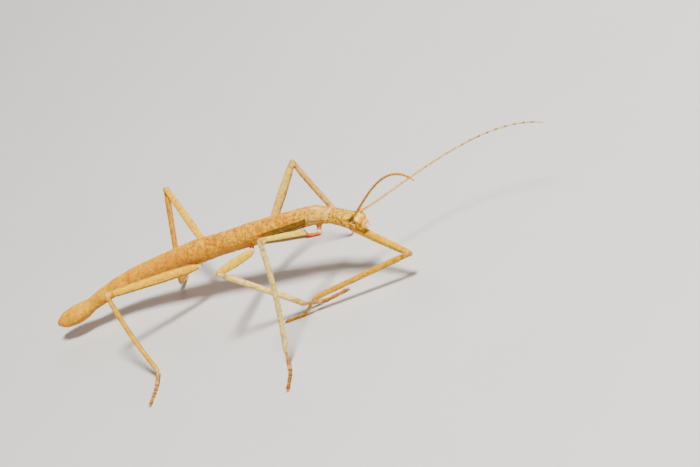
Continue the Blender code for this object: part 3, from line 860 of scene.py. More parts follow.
def trunk_colour(station, turn):
    s, t = np.asarray(station, float), np.asarray(turn, float)
    top, lower = turn_gap(t, TOP), turn_gap(t, UNDERSIDE)
    rear, front = neck_places(s, t)
    blotch, speck, broad = BLOTCH(s * 0.9, t * 24), thorax_lumps(s, t), PATCH(s * 0.22 + 40, t * 8)
    before_rim = fade(rear, 14.7, 14.95)
    abdomen, thorax = fade(s, -15.6, -13.8), step(s, -15.6, -13.8) * before_rim
    # Thorax: pale tan back with orange blotches, darker and browner down the flanks, which is painted
    # shade.
    mottle = 0.65 * MOTTLE(s * 1.7, t * 40) + 0.5 * blotch
    pale_specks = step(speck, 0.1, 0.6) * (0.35 + 0.35 * step(s, 4.0, 9.0)) * (1 - 0.7 * step(top, 80, 110))
    colour = paint(
        TAN,
        (PALE_TAN, thorax * step(70 - top, -25, 35) * 0.55),
        (ORANGE, thorax * step(mottle, -0.2, 0.35) * 0.7),
        (srgb(168, 108, 34), thorax * step(-MOTTLE(s * 3.1 + 60, t * 40), 0.25, 0.8) * 0.5),
        (srgb(146, 92, 32), thorax * step(-speck, 0.0, 0.55) * 0.6),
        (srgb(250, 208, 134), thorax * pale_specks),
        # painted shade: darker orange brown from partway down each flank of the thorax, and brown at the
        # bottom
        (srgb(188, 122, 46), thorax * step(top, 40, 95) * 0.6),
        (BROWN, thorax * step(top, 84, 124) * (0.8 + 0.2 * blotch)),
    )
    # Mesothorax: a dark olive band below the ridge on each flank, and a dark line before it.
    flank = (TOP - RIDGE_TURN) * -360
    floor = table(((-1.0, 88.0), (2.3, 88.0), (6.0, 97.0), (10.0, 125.0), (THORAX_FRONT, 130.0)), s)
    band = step(top, flank - 1.5, flank + 2.5) * fade(top - floor, -2.0, 3.0)
    band = band * step(s, 2.2, 5.5) * before_rim
    line = bell(top - (flank + 21), 2.2) * step(s, -3.0, -1.0) * fade(s, 2.5, 6.0)
    # Abdomen: orange tan, yellow patches before the middle of some segments, paler towards the tail.
    colour = paint(
        colour,
        (mix(BROWN, OLIVE, step(s, 4.5, 8.5)), band * (0.92 - 0.16 * step(blotch, 0.2, 0.8))),
        (DARK_BROWN, line * 0.7),
        (ORANGE, abdomen * (0.15 + 0.3 * step(broad, -0.2, 0.6))),
        (srgb(238, 182, 104), abdomen * bell(np.minimum(top, 90.0) - 8.0, 24.0) * 0.45),
        (srgb(180, 116, 40), abdomen * step(belly_wrinkles(s, t), 0.15, 0.8) * 0.4),
        (srgb(184, 118, 38), abdomen * step(blotch, 0.1, 0.8) * 0.35),
    )
    for at, strength in ((-31.6, 1.0), (-36.9, 1.0), (-27.8, 0.5), (-23.6, 0.4), (-40.0, 0.3)):
        patch = step(at - s, -0.05, 0.35) * fade(at - s, 1.6, 3.2) * step(95 - top, -10, 25)
        colour = mix(colour, YELLOW, patch * strength)
    colour = paint(
        colour,
        (srgb(232, 172, 84), fade(s, -44.5, -38.5) * 0.65),
        (srgb(226, 142, 34), fade(s, -50.6, -47.6) * 0.85),
    )
    for at in (-19.0, -30.5, -45.5):
        colour = mix(colour, srgb(222, 128, 62), bell(s - at, 0.7) * bell(pair_gap(t, 0.36), 12.0) * 0.4)
    colour = paint(
        colour,
        # painted shade: the abdomen browner down its flanks, all but its tip
        (BROWN, abdomen * step(top, 84, 122) * 0.7 * step(s, -50.0, -46.0)),
        (srgb(150, 92, 30), fade(s, -47.0, -44.0) * bell(top - 115, 16.0) * 0.6),
    )
    for at in ABDOMEN_JOINTS + THORAX_JOINTS:
        spiracle = bell(s - at - 2.6, 0.16) * bell(pair_gap(t, 0.535), 4.0)
        colour = paint(colour, (BROWN, bell(s - at + 0.14, 0.16) * 0.2), (DARK_BROWN, spiracle * 0.8))
    # Prothorax: pale grey tan, browner under the sides as painted shade; cream rims before and behind it.
    prothorax, wrinkle = step(rear, 14.85, 15.05), neck_wrinkles(s, t)
    corner = np.minimum(bell(top - 30, 7.0), bell(rear - 15.9, 0.35))
    corner = corner + bell(top - 34, 7.0) * bell(front - 18.3, 0.3)
    rims = np.maximum(bell(rear - MESO_RIM_AT, 0.11), bell(front - HEAD_RIM_AT, 0.11))
    folds = np.maximum(bell(rear - MESO_FOLD_AT, 0.1), bell(front - HEAD_FOLD_AT, 0.09))
    return paint(
        colour,
        (GREY_TAN, prothorax),
        (srgb(206, 146, 106), prothorax * step(blotch, 0.0, 0.7) * 0.4),
        (srgb(158, 114, 62), prothorax * step(wrinkle, 0.0, 0.6) * 0.5),
        (srgb(246, 220, 168), prothorax * step(-wrinkle, 0.2, 0.7) * 0.5),
        (srgb(92, 56, 28), prothorax * np.clip(corner, 0, 1) * 0.6),
        (srgb(150, 112, 66), prothorax * bell(top - 82, 5.0) * fade(front, 18.6, 19.0) * 0.8),
        # painted shade: the pronotum browner under its sides
        (srgb(142, 92, 48), prothorax * step(top, 92, 124) * 0.7),
        (srgb(150, 78, 46), prothorax * bell(top - 96, 12.0) * step(blotch, -0.4, 0.4) * 0.6),
        (srgb(246, 216, 158), rims * (1 - 0.5 * step(top, 110, 150)) * (0.75 + 0.25 * speck)),
        (srgb(142, 96, 48), folds * 0.75),
        # painted shade: the whole trunk darker and browner on its underside, except over the olive bands
        (srgb(188, 132, 74), step(66 - lower, -14, 22) * 0.35 * (1 - band)),
    )


def head_colour(points, station, turn):
    """Colour of the head, from places ahead, out and over."""
    a, o, v = head_axes(points)
    side = np.abs(o)
    grain, fine = head_grains(station, turn)
    pepper = LUMPS(station * 10 + 40, turn * 80)
    eye = eye_gap(a, side, v)
    stripe = 0.5 + 0.5 * np.sin((eye - 1.1) * 13.0)
    face = step(v, -0.25, 0.1)
    folds = np.maximum(bell(a - FACE_FOLD, 0.05) * 0.6, bell(a - LIP_FOLD, 0.07)) * face
    return paint(
        srgb(212, 162, 86),
        (srgb(226, 184, 108), step(v, 0.6, 1.15) * np.clip(0.5 + 0.45 * grain, 0, 1)),
        (srgb(196, 164, 52), bell(a - 1.8, 0.7) * bell(side - 0.9, 0.42) * step(v, 0.3, 0.8) * 0.8),
        (srgb(214, 146, 90), bell(a - 3.2, 0.8) * step(side, 0.5, 0.9) * 0.4),
        (srgb(206, 136, 76), bell(a - 4.5, 0.5) * step(side, 0.9, 1.15) * 0.5),
        (srgb(86, 54, 24), step(-fine, 0.1, 0.5) * fade(a, 4.8, 5.2) * 0.75),
        (srgb(78, 46, 18), step(-pepper, 0.3, 0.55) * step(v, -0.3, 0.2) * fade(a, 4.8, 5.2) * 0.7),
        (srgb(246, 210, 146), step(grain, 0.35, 0.8) * fade(a, 5.0, 5.4) * 0.5),
        (srgb(158, 104, 56), step(-v, -0.15, 0.45) * fade(a, 5.0, 5.5) * 0.75),
        (srgb(92, 56, 28), bell(v + 0.5, 0.11) * step(side, 0.8, 1.1) * fade(a, 5.2, 5.7) * 0.6),
        # Round the eye: yellow and white stripes under it, a pale ring, and a dark rim.
        (mix(srgb(176, 116, 14), srgb(246, 214, 96), stripe),
         step(-v, -0.05, 0.2) * step(a, 5.0, 5.4) * 0.85),
        (srgb(200, 142, 48), bell(eye - 1.25, 0.25) * 0.6),
        (srgb(112, 66, 22), bell(eye - 1.06, 0.1) * 0.8),
        # The face: white frons between the feelers, then a yellow clypeus, with brown folds between.
        (srgb(252, 220, 156), step(a, 5.0, 5.4) * face * step(v, 0.3, 0.6)),
        (srgb(240, 182, 24), step(a, 6.16, 6.3) * face),
        (srgb(196, 136, 36), step(a, 6.48, 6.56) * face),
        (srgb(232, 190, 128), step(a, LIP_FOLD, 6.94)),
        (srgb(146, 80, 20), folds * 0.9),
        (srgb(96, 52, 22), bell(socket_gap(a, side, v) - 0.28, 0.16) * 0.85),
    )


def leg_colour(name, segment, along, turn, length):
    """Markings of one length of a leg."""
    femur, tibia, tarsus = LEG_COLOURS[name]
    share = along / length
    top, lower = turn_gap(turn, TOP), turn_gap(turn, UNDERSIDE)
    grain = LUMPS(along * 1.1 + len(name) * 3, turn * 20)
    fine = LUMPS(along * 4.0 + len(name) * 7, turn * 26)
    if segment == "coxa":
        return paint(
            srgb(222, 164, 126),
            (srgb(132, 78, 48), step(-grain, 0.0, 0.6) * 0.6),
            (DARK_BROWN, bell(share - 0.64, 0.04) * 0.6),
            (WHITE, step(share, 0.66, 0.74) * 0.9),
            (srgb(150, 110, 80), step(fine, 0.5, 0.8) * 0.4),
        )
    if segment == "femur":
        edge = np.maximum(bell(turn_gap(turn, 0.625), 12.0), bell(turn_gap(turn, 0.875), 12.0))
        edge_share, reach, shade = FEMUR_EDGES_AND_PAINTED_SHADE.get(name, (0.45, 60, 0.4))
        colour = paint(
            femur,
            (femur * np.array((0.86, 0.72, 0.5)), bell(top, 34.0) * 0.45),
            (srgb(122, 74, 26), edge * edge_share),
            # painted shade: the femur's underside darkened dark brown, as far round as reach and as much as
            # shade say
            (srgb(78, 46, 14), step(reach - lower, -5, 5) * shade),
            (srgb(124, 80, 26), step(fine, 0.45, 0.8) * 0.25),
        )
        if name.startswith("front"):
            # Coral along the thin inner length, and a dark red mark at its end.
            neck = fade(share, 0.262, 0.29)
            blush = bell(share - 0.3, 0.06) * step(share, 0.265, 0.28) * step(100 - top, 0, 40)
            colour = paint(
                colour,
                (CORAL, fade(share, 0.262, 0.275)),
                (PINK, fade(share, 0.0, 0.06) * 0.6),
                (ORANGE, blush * 0.7),
                (srgb(236, 132, 84), neck * step(60 - top, -10, 25) * 0.6),
                (srgb(112, 30, 10), neck * step(76 - lower, -5, 8) * 0.85),
                (DARK_RED, bell(share - 0.27, 0.017) * step(100 - top, -10, 30) * 0.95),
            )
        return paint(
            colour,
            (CREAM, step(share, 0.93, 0.97) * 0.4),
            (srgb(210, 140, 112), step(share, 0.95, 0.98) * 0.4),
            (DARK_BROWN, np.maximum(bell(share - 0.922, 0.01) * 0.4, step(share, 0.985, 1.0) * 0.55)),
        )
    if segment == "tibia":
        edges = bell(turn_gap(turn, 0.625), 8.0) * 0.45 + bell(turn_gap(turn, 0.125), 8.0) * 0.2
        return paint(
            tibia,
            (tibia * np.array((0.8, 0.68, 0.52)), step(-grain, 0.0, 0.8) * 0.4),
            (BROWN, edges),
            (srgb(120, 74, 34), step(fine, 0.3, 0.7) * 0.5),
            (DARK_BROWN, bell(share - 0.06, 0.012) * 0.45),
            (CREAM, step(share, 0.95, 0.98) * 0.35),
        )
    return paint(
        tarsus,
        (CREAM, step(65 - lower, -5, 20) * 0.55),
        (srgb(222, 180, 148), bell(share - 0.34, 0.05) * 0.55 + bell(share - 0.08, 0.05) * 0.4),
        *((DARK_BROWN, bell(share - joint, 0.014) * 0.85) for joint in TARSOMERES[1:-1]),
        (srgb(120, 62, 30), step(share, 0.9, 1.0) * 0.55),
    )


def antenna_colour(side, along, turn):
    base, root, tip = FEELER_COLOURS[side]
    dark = 0.3 if side == "right" else 0.75 * step(along, 14.0, 24.0)
    return paint(
        base,
        (root, fade(along, 1.4, 3.0) * 0.9),
        (srgb(110, 40, 26), fade(along, 0.15, 0.7) * 0.7),
        (tip, step(along, 14.0, 26.0) * 0.8),
        *((srgb(92, 56, 32), bell(along - joint, 0.2) * (0.25 + dark)) for joint in FEELER_JOINTS),
        (srgb(150, 100, 60), step(LUMPS(along * 3 + 17, turn * 12), 0.2, 0.8) * 0.3),
    )


def part_colour(name, s, t, points):
    """The markings of one part, at places along and round it."""
    kind, _, rest = name.partition("_")
    if kind == "trunk":
        return mix(trunk_colour(s, t), head_colour(points, s, t), step(neck_places(s, t)[1], 19.3, 19.42))
    if kind == "antenna":
        return antenna_colour(rest, s, t)
    if kind in ("femur", "tibia"):
        return leg_colour(rest, kind, s, t, PAIRS[LEGS[rest]["pair"]][kind])
    if kind in ("coxa", "tarsus"):
        return leg_colour(rest, kind, s, t, TARSUS if kind == "tarsus" else max(1e-3, s.max()))
    if kind == "labrum":
        return paint(srgb(228, 178, 118), (srgb(244, 212, 170), step(s, 0.3, 0.6)),
                     (srgb(158, 90, 40), bell(s - 0.3, 0.06) * 0.7))
    if kind == "mandible":
        return mix(srgb(232, 200, 120), DARK_BROWN, step(s, 0.95, 1.25) * 0.85)
    return srgb(214, 150, 80) if kind == "cercus" else srgb(206, 158, 104)


def colour_of(part, along, turn, points):
    """The markings at places of the skin, whatever part they are on."""
    part = np.asarray(part, int)
    colour = np.zeros(part.shape + (3,))
    for number in np.unique(part):
        here = part == number
        colour[here] = part_colour(STRIPS[number][0], along[here], turn[here] % 1.0, points[here])
    return colour


# ---- materials -----------------------------------------------------------------------------------


class Look:
    """A material being made: its nodes, with short ways to add and join them."""

    def __init__(self, name):
        self.material = bpy.data.materials.new(name)
        self.material.use_nodes = True
        self.tree = self.material.node_tree
        self.surface = self.tree.nodes["Principled BSDF"].inputs
        self.place = self.node("ShaderNodeTexCoord").outputs["Object"]

    def put(self, socket, value):
        """Gives a socket a value, or joins it to an output."""
        if isinstance(value, bpy.types.NodeSocket):
            self.tree.links.new(value, socket)
        else:
            socket.default_value = value

    def node(self, kind, **values):
        """A node, with values or joins for its inputs, and its own settings."""
        node = self.tree.nodes.new(kind)
        for key, value in values.items():
            if key in node.inputs:
                self.put(node.inputs[key], value)
            else:
                setattr(node, key, value)
        return node

    def kept(self, name, output):
        """A value kept on the mesh."""
        return self.node("ShaderNodeAttribute", attribute_name=name).outputs[output]

    def noise(self, scale, detail, roughness=0.5, vector=None):
        vector = self.place if vector is None else vector
        return self.node("ShaderNodeTexNoise", Scale=scale, Detail=detail, Roughness=roughness,
                         Vector=vector).outputs["Fac"]

    def cells(self, scale):
        """How far from the middle of a small cell."""
        return self.node("ShaderNodeTexVoronoi", Scale=scale, Vector=self.place).outputs["Distance"]

    def maths(self, operation, *values):
        node = self.node("ShaderNodeMath", operation=operation)
        for socket, value in zip(node.inputs, values):
            self.put(socket, value)
        return node.outputs["Value"]

    def ranged(self, value, low, high, to_low, to_high):
        """The value, with low to high stretched to to_low to to_high."""
        limits = {"From Min": low, "From Max": high, "To Min": to_low, "To Max": to_high}
        return self.node("ShaderNodeMapRange", Value=value, **limits).outputs["Result"]

    def stained(self, colour, share, stain):
        """The colour multiplied by a stain, as far as share says."""
        node = self.node("ShaderNodeMix", data_type="RGBA", blend_type="MULTIPLY")
        sockets = {(s.name, s.type): s for s in node.inputs}
        for key, value in ((("Factor", "VALUE"), share), (("A", "RGBA"), colour), (("B", "RGBA"), stain)):
            self.put(sockets[key], value)
        return next(s for s in node.outputs if s.type == "RGBA")

    def ramp(self, value, stops):
        node = self.node("ShaderNodeValToRGB", Fac=value)
        first, last = node.color_ramp.elements
        for element, (at, colour) in ((first, stops[0]), (last, stops[-1])):
            element.position, element.color = at, (*colour, 1.0)
        for at, colour in stops[1:-1]:
            node.color_ramp.elements.new(at).color = (*colour, 1.0)
        return node.outputs["Color"]

    def bump(self, height, strength, distance, under=None, invert=False):
        """Raises the surface by height, over what is under it."""
        node = self.node("ShaderNodeBump", Height=height, Strength=strength, Distance=distance,
                         invert=invert)
        if under is not None:
            self.put(node.inputs["Normal"], under)
        return node.outputs["Normal"]

    def finish(self, **values):
        """Joins what was made to the surface, by the inputs' names with _ for each space."""
        for key, value in values.items():
            self.put(self.surface[key.replace("_", " ")], value)
        return self.material


def cuticle(name, roughness=0.45, grain=1.0, bump=0.5):
    """Cuticle: the markings, broken up by fine mottling and pores, with a satin wrinkled surface."""
    look = Look(name)
    mottle, broad = look.noise(1500.0, 5.0, 0.62), look.noise(420.0, 3.0)
    pepper = look.noise(5000.0, 3.0, 0.7)
    stretch = look.node("ShaderNodeMapping", Vector=look.kept("lie", "Vector"), Scale=(1.1, 7.0, 1.0))
    fibres = look.noise(1.0, 4.0, 0.6, stretch.outputs["Vector"])
    both = look.maths("MULTIPLY_ADD", pepper, 0.5, look.maths("MULTIPLY", mottle, 0.5))
    shade = look.node("ShaderNodeHueSaturation", Hue=look.ranged(broad, 0.35, 0.65, 0.494, 0.508),
                      Value=look.ranged(both, 0.38, 0.62, 1 - 0.1 * grain, 1 + 0.26 * grain),
                      Color=look.kept("markings", "Color")).outputs["Color"]
    dark = look.stained(shade, look.ranged(both, 0.5, 0.37, 0.0, 0.8 * grain), (0.66, 0.48, 0.3, 1.0))
    flecked = look.stained(dark, look.ranged(fibres, 0.56, 0.7, 0.0, 0.5 * grain), (0.6, 0.47, 0.36, 1.0))
    fine = look.bump(mottle, bump, 0.00005)
    ridged = look.bump(fibres, bump * 0.8, 0.00005, fine)
    return look.finish(
        Base_Color=flecked, Roughness=look.ranged(mottle, 0.3, 0.7, roughness - 0.08, roughness + 0.14),
        Specular_IOR_Level=LOW_GLARE, Normal=look.bump(look.cells(5200.0), bump * 0.35, 0.00003, ridged))


def plain(name, colour, second, roughness, scale, depth, coat=0.0):
    """A small hard piece: two tones and a fine surface."""
    look = Look(name)
    noise = look.noise(scale, 4.0)
    return look.finish(Base_Color=look.ramp(noise, ((0.35, second), (0.65, colour))), Roughness=roughness,
                       Normal=look.bump(noise, 0.3, depth), Coat_Weight=coat)


def eye_material():
    """Golden eye: rings round the middle of the dome, fine facets, and a glossy coat."""
    look = Look("eye_facets")
    waver = look.ranged(look.noise(1500.0, 3.0), 0.3, 0.7, -0.2, 0.2)
    rings = look.ramp(look.maths("ADD", look.kept("dome", "Fac"), waver), (
        (0.0, srgb(150, 86, 12)), (0.2, srgb(206, 132, 20)), (0.34, srgb(116, 62, 8)),
        (0.48, srgb(224, 150, 28)), (0.62, srgb(192, 116, 18)), (0.72, srgb(108, 58, 8)),
        (0.84, srgb(204, 134, 30)), (1.0, srgb(54, 28, 8))))
    return look.finish(
        Base_Color=rings, Normal=look.bump(look.cells(26000.0), 0.35, 0.00001, invert=True), Roughness=0.35,
        Specular_IOR_Level=LOW_GLARE, Coat_Weight=0.2, Coat_Roughness=0.08)


# ---- the skin ------------------------------------------------------------------------------------

trunk = make_trunk()
legs = {name: make_leg(name) for name in LEGS}
antennae = {side: make_antenna(side) for side in ANTENNAE}
labrum, jaws, lip = make_mouth()

skin = joined("skin", [trunk])
leg_levels = [[tube for group in level for tube in group] for level in zip(*legs.values())]
for tubes in (*leg_levels, list(antennae.values()), lip, jaws, labrum, make_cerci()):
    unite(skin, joined("addition", tubes))


def lay_map(mesh, places):
    """The bake's map: a place for each face corner."""
    fill(mesh.uv_layers.new(name="OFBake").data, "uv", places)


def store(mesh, colour, part, along, turn):
    """Keeps the markings, and the lie of the surface: along it, round it from its side, and its part."""
    rgba = np.concatenate([np.clip(colour, 0, 1), np.ones((len(colour), 1))], 1)
    fill(mesh.color_attributes.new("markings", "FLOAT_COLOR", "POINT").data, "color", rgba)
    rounds = np.array([row[2] for row in STRIPS])[np.asarray(part, int)]
    lie = np.stack([along, rounds * np.abs((turn % 1.0) - 0.5), np.asarray(part, float) * 3.0], -1)
    fill(mesh.attributes.new("lie", "FLOAT_VECTOR", "POINT").data, "vector", lie)


def finish_skin(obj):
    """Turns the kept places into markings, a lie of the surface, and the bake's map."""
    mesh = obj.data
    where, which = (read(mesh.uv_layers[name].data, "uv", 2) for name in ("where", "which"))
    part = np.clip(np.round(which[:, 0]), 0, len(STRIPS) - 1).astype(int)
    vertex = read(mesh.loops, "vertex_index", 1, np.int32)[:, 0]
    points = read(mesh.vertices, "co", 3, float) / MM - SHIFT
    first = np.zeros(len(mesh.vertices), int)
    first[vertex[::-1]] = np.arange(len(vertex))[::-1]
    along, turn = where[first, 0], where[first, 1]
    store(mesh, colour_of(part[first], along, turn, points), part[first], along, turn)
    lay_map(mesh, atlas(part, where[:, 0], where[:, 1]))
    for name in ("where", "which"):
        mesh.uv_layers.remove(mesh.uv_layers[name])
    mesh.shade_smooth()


finish_skin(skin)
skin.data.materials.clear()
skin.data.materials.append(cuticle("cuticle"))


# ---- many small things on the skin ---------------------------------------------------------------


def coat_piece(name, template, places, sizes, lean, material, tint=None):
    """One joined mesh of small things that take the markings of the skin they stand on. Each is a
    copy of the template, turned to the skin's normal and leaned along its direction."""
    part, along, turn, root, normal, tangent = places
    shape, faces = template
    count, n = len(root), len(shape)
    across = unit(np.cross(normal, tangent))
    main = unit(normal * (1 - lean[:, None]) + tangent * lean[:, None])
    axes = np.stack([across, np.cross(main, across), main], 1)
    points = root[:, None] + np.einsum("cvk,ckd->cvd", shape[None] * sizes[:, None], axes)
    points = points.reshape(-1, 3)
    points[:, 2] = np.maximum(points[:, 2], LEAST_HEIGHT)
    first = np.arange(count) * n
    all_faces = [row for face in faces for row in (np.asarray(face) + first[:, None]).tolist()]
    colour = colour_of(part, along, turn, root)
    if tint is not None:
        colour = tint(colour)
    obj = make_object(name, points, all_faces)
    store(obj.data, *(np.repeat(v, n, axis=0) for v in (colour, part, along, turn)))
    patch = PATCH_SIDE * shape[:, :2] / (np.abs(shape[:, :2]).max() * 2 + 1e-9)
    rise = PATCH_RISE * shape[None, :, 2:3] / np.abs(shape).max()
    uv = (atlas(part, along, turn)[:, None] + patch[None] + rise).reshape(-1, 2)
    lay_map(obj.data, uv[read(obj.data.loops, "vertex_index", 1, np.int32)[:, 0]])
    obj.data.materials.append(material)
    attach(obj, "root")


def circle(sides):
    return [(math.cos(TAU * k / sides), math.sin(TAU * k / sides)) for k in range(sides)]


def lathe_template(rings, low, high, sides=6):
    """A small round thing: height and radius of each ring, and the heights of its two ends."""
    points = [(x * r, y * r, z) for z, r in rings for x, y in circle(sides)]
    return np.array(points + [(0.0, 0.0, low), (0.0, 0.0, high)]), shell_faces(len(rings), sides)


def hair_template():
    """A bent tapering hair of unit length, three-sided."""
    points = [(x * r * 0.04, y * r * 0.04 + sag, z)
              for z, r, sag in ((-0.05, 1.0, 0.0), (0.5, 0.62, 0.05)) for x, y in circle(3)]
    points += [(0.0, 0.18, 1.0)]
    faces = [(0, 2, 1), (0, 1, 4, 3), (1, 2, 5, 4), (2, 0, 3, 5), (3, 4, 6), (4, 5, 6), (5, 3, 6)]
    return np.array(points), faces


def scatter(seed, count, gap, density, low, high):
    """Stations and turns on the trunk, at least gap apart, kept as often as density says."""
    own = np.random.default_rng(seed)
    station, turn = own.uniform(low, high, count), own.uniform(0.0, 1.0, count)
    keep = own.uniform(0.0, 1.0, count) < density(station, turn)
    station, turn = station[keep], turn[keep]
    flat = np.stack([station, turn * TRUNK_ROUND], -1)
    kept = np.full(flat.shape, 1e6)
    chosen = []
    for k, place in enumerate(flat):
        if ((kept[:len(chosen) + 1] - place) ** 2).sum(axis=1).min() > gap**2:
            kept[len(chosen)] = place
            chosen.append(k)
    return station[chosen], turn[chosen]


def trunk_places(station, turn):
    """The nearest places of the trunk, with their directions towards the tail."""
    ring = np.abs(trunk.along[:, None] - station[None]).argmin(axis=0)
    return trunk.places(ring, turn, -1)


def tube_places(tube, share, turn):
    """Places on a tube, by share of its rings and by turn."""
    last = len(tube.points) - 1
    return tube.places(np.clip(np.round(share * last).astype(int), 0, last), turn)


def gather(groups):
    """Joins pairs of places and sizes into one such pair."""
    places, sizes = zip(*groups)
    return tuple(np.concatenate(v) for v in zip(*places)), np.concatenate(sizes)


def granule_density(station, turn):
    top = turn_gap(turn, TOP)
    meso = step(station, -1.0, 1.5) * fade(neck_places(station, turn)[0], 14.3, 14.6)
    meta = step(station, -14.4, -13.0) * fade(station, -1.6, -1.2)
    rise = 1 - 0.75 * step(top, 118, 140)
    return (meso * (0.5 + 0.5 * step(station, 4.0, 9.0)) + meta * (0.22 + 0.3 * step(top, 80, 110))) * rise


def head_density(station, turn):
    """Granules of the crown and cheeks, thicker behind each eye, and a few on the pronotum."""
    top = turn_gap(turn, TOP)
    rear, front = neck_places(station, turn)
    crown = step(front, 19.5, 19.9) * fade(station, 24.0, 24.5) * (0.8 - 0.5 * step(top, 95, 125))
    pronotum = step(rear, 15.3, 15.6) * fade(front, 18.6, 18.9) * (0.14 + 0.5 * bell(top - 90, 13.0))
    return crown + pronotum


def seta_density(station, turn):
    return 0.25 + 0.5 * step(-station, 44.0, 50.0) + 0.4 * step(station, 24.5, 25.5)


def speckled(pale, seed, dark=0.35):
    """Tints of small things: most a little paler than the skin, some nearly white, some darker."""
    def tint(colour):
        luck = np.random.default_rng(seed).uniform(0.0, 1.0, len(colour))
        return paint(colour, (srgb(252, 224, 164), pale * (0.35 + 0.65 * step(luck, 0.55, 0.95))),
                     (srgb(150, 84, 30), dark * step(0.28 - luck, 0.0, 0.2)))
    return tint


def uneven(size):
    """Sizes of granules: each its own width, length and height."""
    return size[:, None] * rng.uniform((0.75, 0.75, 0.5), (1.25, 1.4, 0.95), (len(size), 3))


def even(size):
    return np.stack([size] * 3, -1)


# A granule is a low dome with a base sunk in the skin, a spike a short stout spine with a sunken root.
granule = lathe_template(((-0.5, 0.75), (0.1, 1.0), (0.72, 0.66)), -0.6, 1.0)
spike = lathe_template(((-0.6, 1.0), (0.3, 0.85), (1.3, 0.45)), -0.7, 2.4)
hair = hair_template()
granule_skin = cuticle("granule_cuticle", roughness=0.42, grain=0.6, bump=0.2)
rng = np.random.default_rng(71)

station, turn = scatter(31, 22000, 0.19, granule_density, -14.5, 15.8)
coat_piece("granules_thorax", granule, trunk_places(station, turn),
           uneven(0.028 + 0.06 * rng.uniform(0.0, 1.0, len(station)) ** 2.5),
           rng.uniform(-0.25, 0.25, len(station)), granule_skin, speckled(0.3, 41))

# Rows: along both flank ridges, along the lower edge of the metathorax, and round the pronotum's rims.
rows = []
for low, high, gap, turns in ((3.0, 15.2, 0.3, (RIDGE_TURN, 0.5 - RIDGE_TURN)),
                              (-12.0, -1.6, 0.42, (0.6, 0.9))):
    for at in turns:
        station = np.arange(low, high, gap)
        rows.append(np.stack([station, np.full(len(station), at)], -1))
for at, lean_by, count in ((MESO_RIM_AT, MESO_RIM, 46), (HEAD_RIM_AT, HEAD_RIM, 44)):
    turns = (np.arange(count) + 0.5) / count * 0.66 - 0.08
    rows.append(np.stack([at + lean_by * back_share(turns), turns], -1))
rows = np.concatenate(rows)
rows = rows + rng.uniform(-1.0, 1.0, rows.shape) * (0.05, 0.004)
size = rng.uniform(0.035, 0.08, len(rows))
coat_piece("granules_rows", granule, trunk_places(rows[:, 0], rows[:, 1] % 1.0),
           uneven(size), np.zeros(len(size)), granule_skin, speckled(0.8, 42, 0.1))

station, turn = scatter(32, 6000, 0.2, head_density, 15.0, 24.6)
size = 0.026 + 0.05 * rng.uniform(0.0, 1.0, len(station)) ** 2
coat_piece("granules_head", granule, trunk_places(station, turn),
           uneven(size), rng.uniform(-0.2, 0.2, len(size)), granule_skin, speckled(0.25, 43, 0.6))
cheek = np.array([(23.29 + 0.21 * a, 0.412 + 0.02 * b) for a, b in
                  ((-1.2, 0.2), (-0.2, 0.4), (0.9, 0.1), (1.8, 0.5), (-0.7, 1.3), (0.4, 1.4), (1.4, 1.5),
                   (-0.6, -0.9), (0.4, -0.8), (1.5, -0.8))])
cheek = np.concatenate([cheek, cheek * (1, -1) + (0, 0.5)])
size = rng.uniform(0.05, 0.1, len(cheek))
coat_piece("granules_cheek", granule, trunk_places(cheek[:, 0], cheek[:, 1] % 1.0),
           uneven(size), np.zeros(len(size)), granule_skin, speckled(0.75, 44, 0.1))

# Lumps on the trochanters and under the front tibiae. Teeth in two rows under each thigh, finer ones
# on its upper edges, and rows along the shin.
lumps, teeth = [], []
for name, (coxa, femur, _, tibia, _) in legs.items():
    front = name.startswith("front")
    share = np.repeat((0.8, 0.87, 0.94), 10)
    at = np.tile(np.arange(10) / 10 + 0.02, 3) + np.repeat((0, 0.05, 0), 10)
    lumps.append((tube_places(coxa[0], share, at), rng.uniform(0.035, 0.07, len(share))))
    base = 0.3 if front else 0.12
    share = np.concatenate([np.linspace(base + 0.06, 0.9, 11)] * 2 + [np.linspace(base, 0.88, 18)] * 2)
    at = np.repeat((0.625, 0.875, 0.125, 0.375), (11, 11, 18, 18))
    teeth.append((tube_places(femur[0], share + rng.uniform(-0.012, 0.012, len(share)), at),
                  np.concatenate([rng.uniform(0.026, 0.046, 22), rng.uniform(0.016, 0.028, 36)])))
    share = np.tile(np.linspace(0.1, 0.93, 18), 4) + rng.uniform(-0.014, 0.014, 72)
    teeth.append((tube_places(tibia[0], share, np.repeat((0.125, 0.375, 0.625, 0.875), 18)),
                  np.concatenate([rng.uniform(0.016, 0.028, 36), rng.uniform(0.026, 0.046, 36)])))
    if front:
        share = np.linspace(0.08, 0.95, 17) + rng.uniform(-0.01, 0.01, 17)
        lumps.append((tube_places(tibia[0], share, np.full(17, UNDERSIDE)), rng.uniform(0.1, 0.16, 17)))
places, size = gather(lumps)
coat_piece("leg_lumps", granule, places, even(size) * (1, 1.2, 1),
           np.full(len(size), 0.1), granule_skin, speckled(0.35, 45))
places, size = gather(teeth)
coat_piece("leg_teeth", spike, places, even(size),
           np.full(len(size), 0.4), granule_skin, speckled(0.2, 46, 0.6))

# Setae: short, fine, leaning towards the tip of what they stand on, or on the trunk to the tail.
hair_skin = cuticle("seta_cuticle", roughness=0.5, grain=0.3, bump=0.0)


def hairs_on(tube, count, low, high, short, long_, seed, lower_only=0.0):
    own = np.random.default_rng(seed)
    turn = own.uniform(0.0, 1.0, count)
    below = own.uniform(0, 1, count) < lower_only
    turn = np.where(below, UNDERSIDE + own.normal(0, 0.07, count), turn) % 1.0
    return tube_places(tube, own.uniform(low, high, count), turn), rng.uniform(short, long_, count)


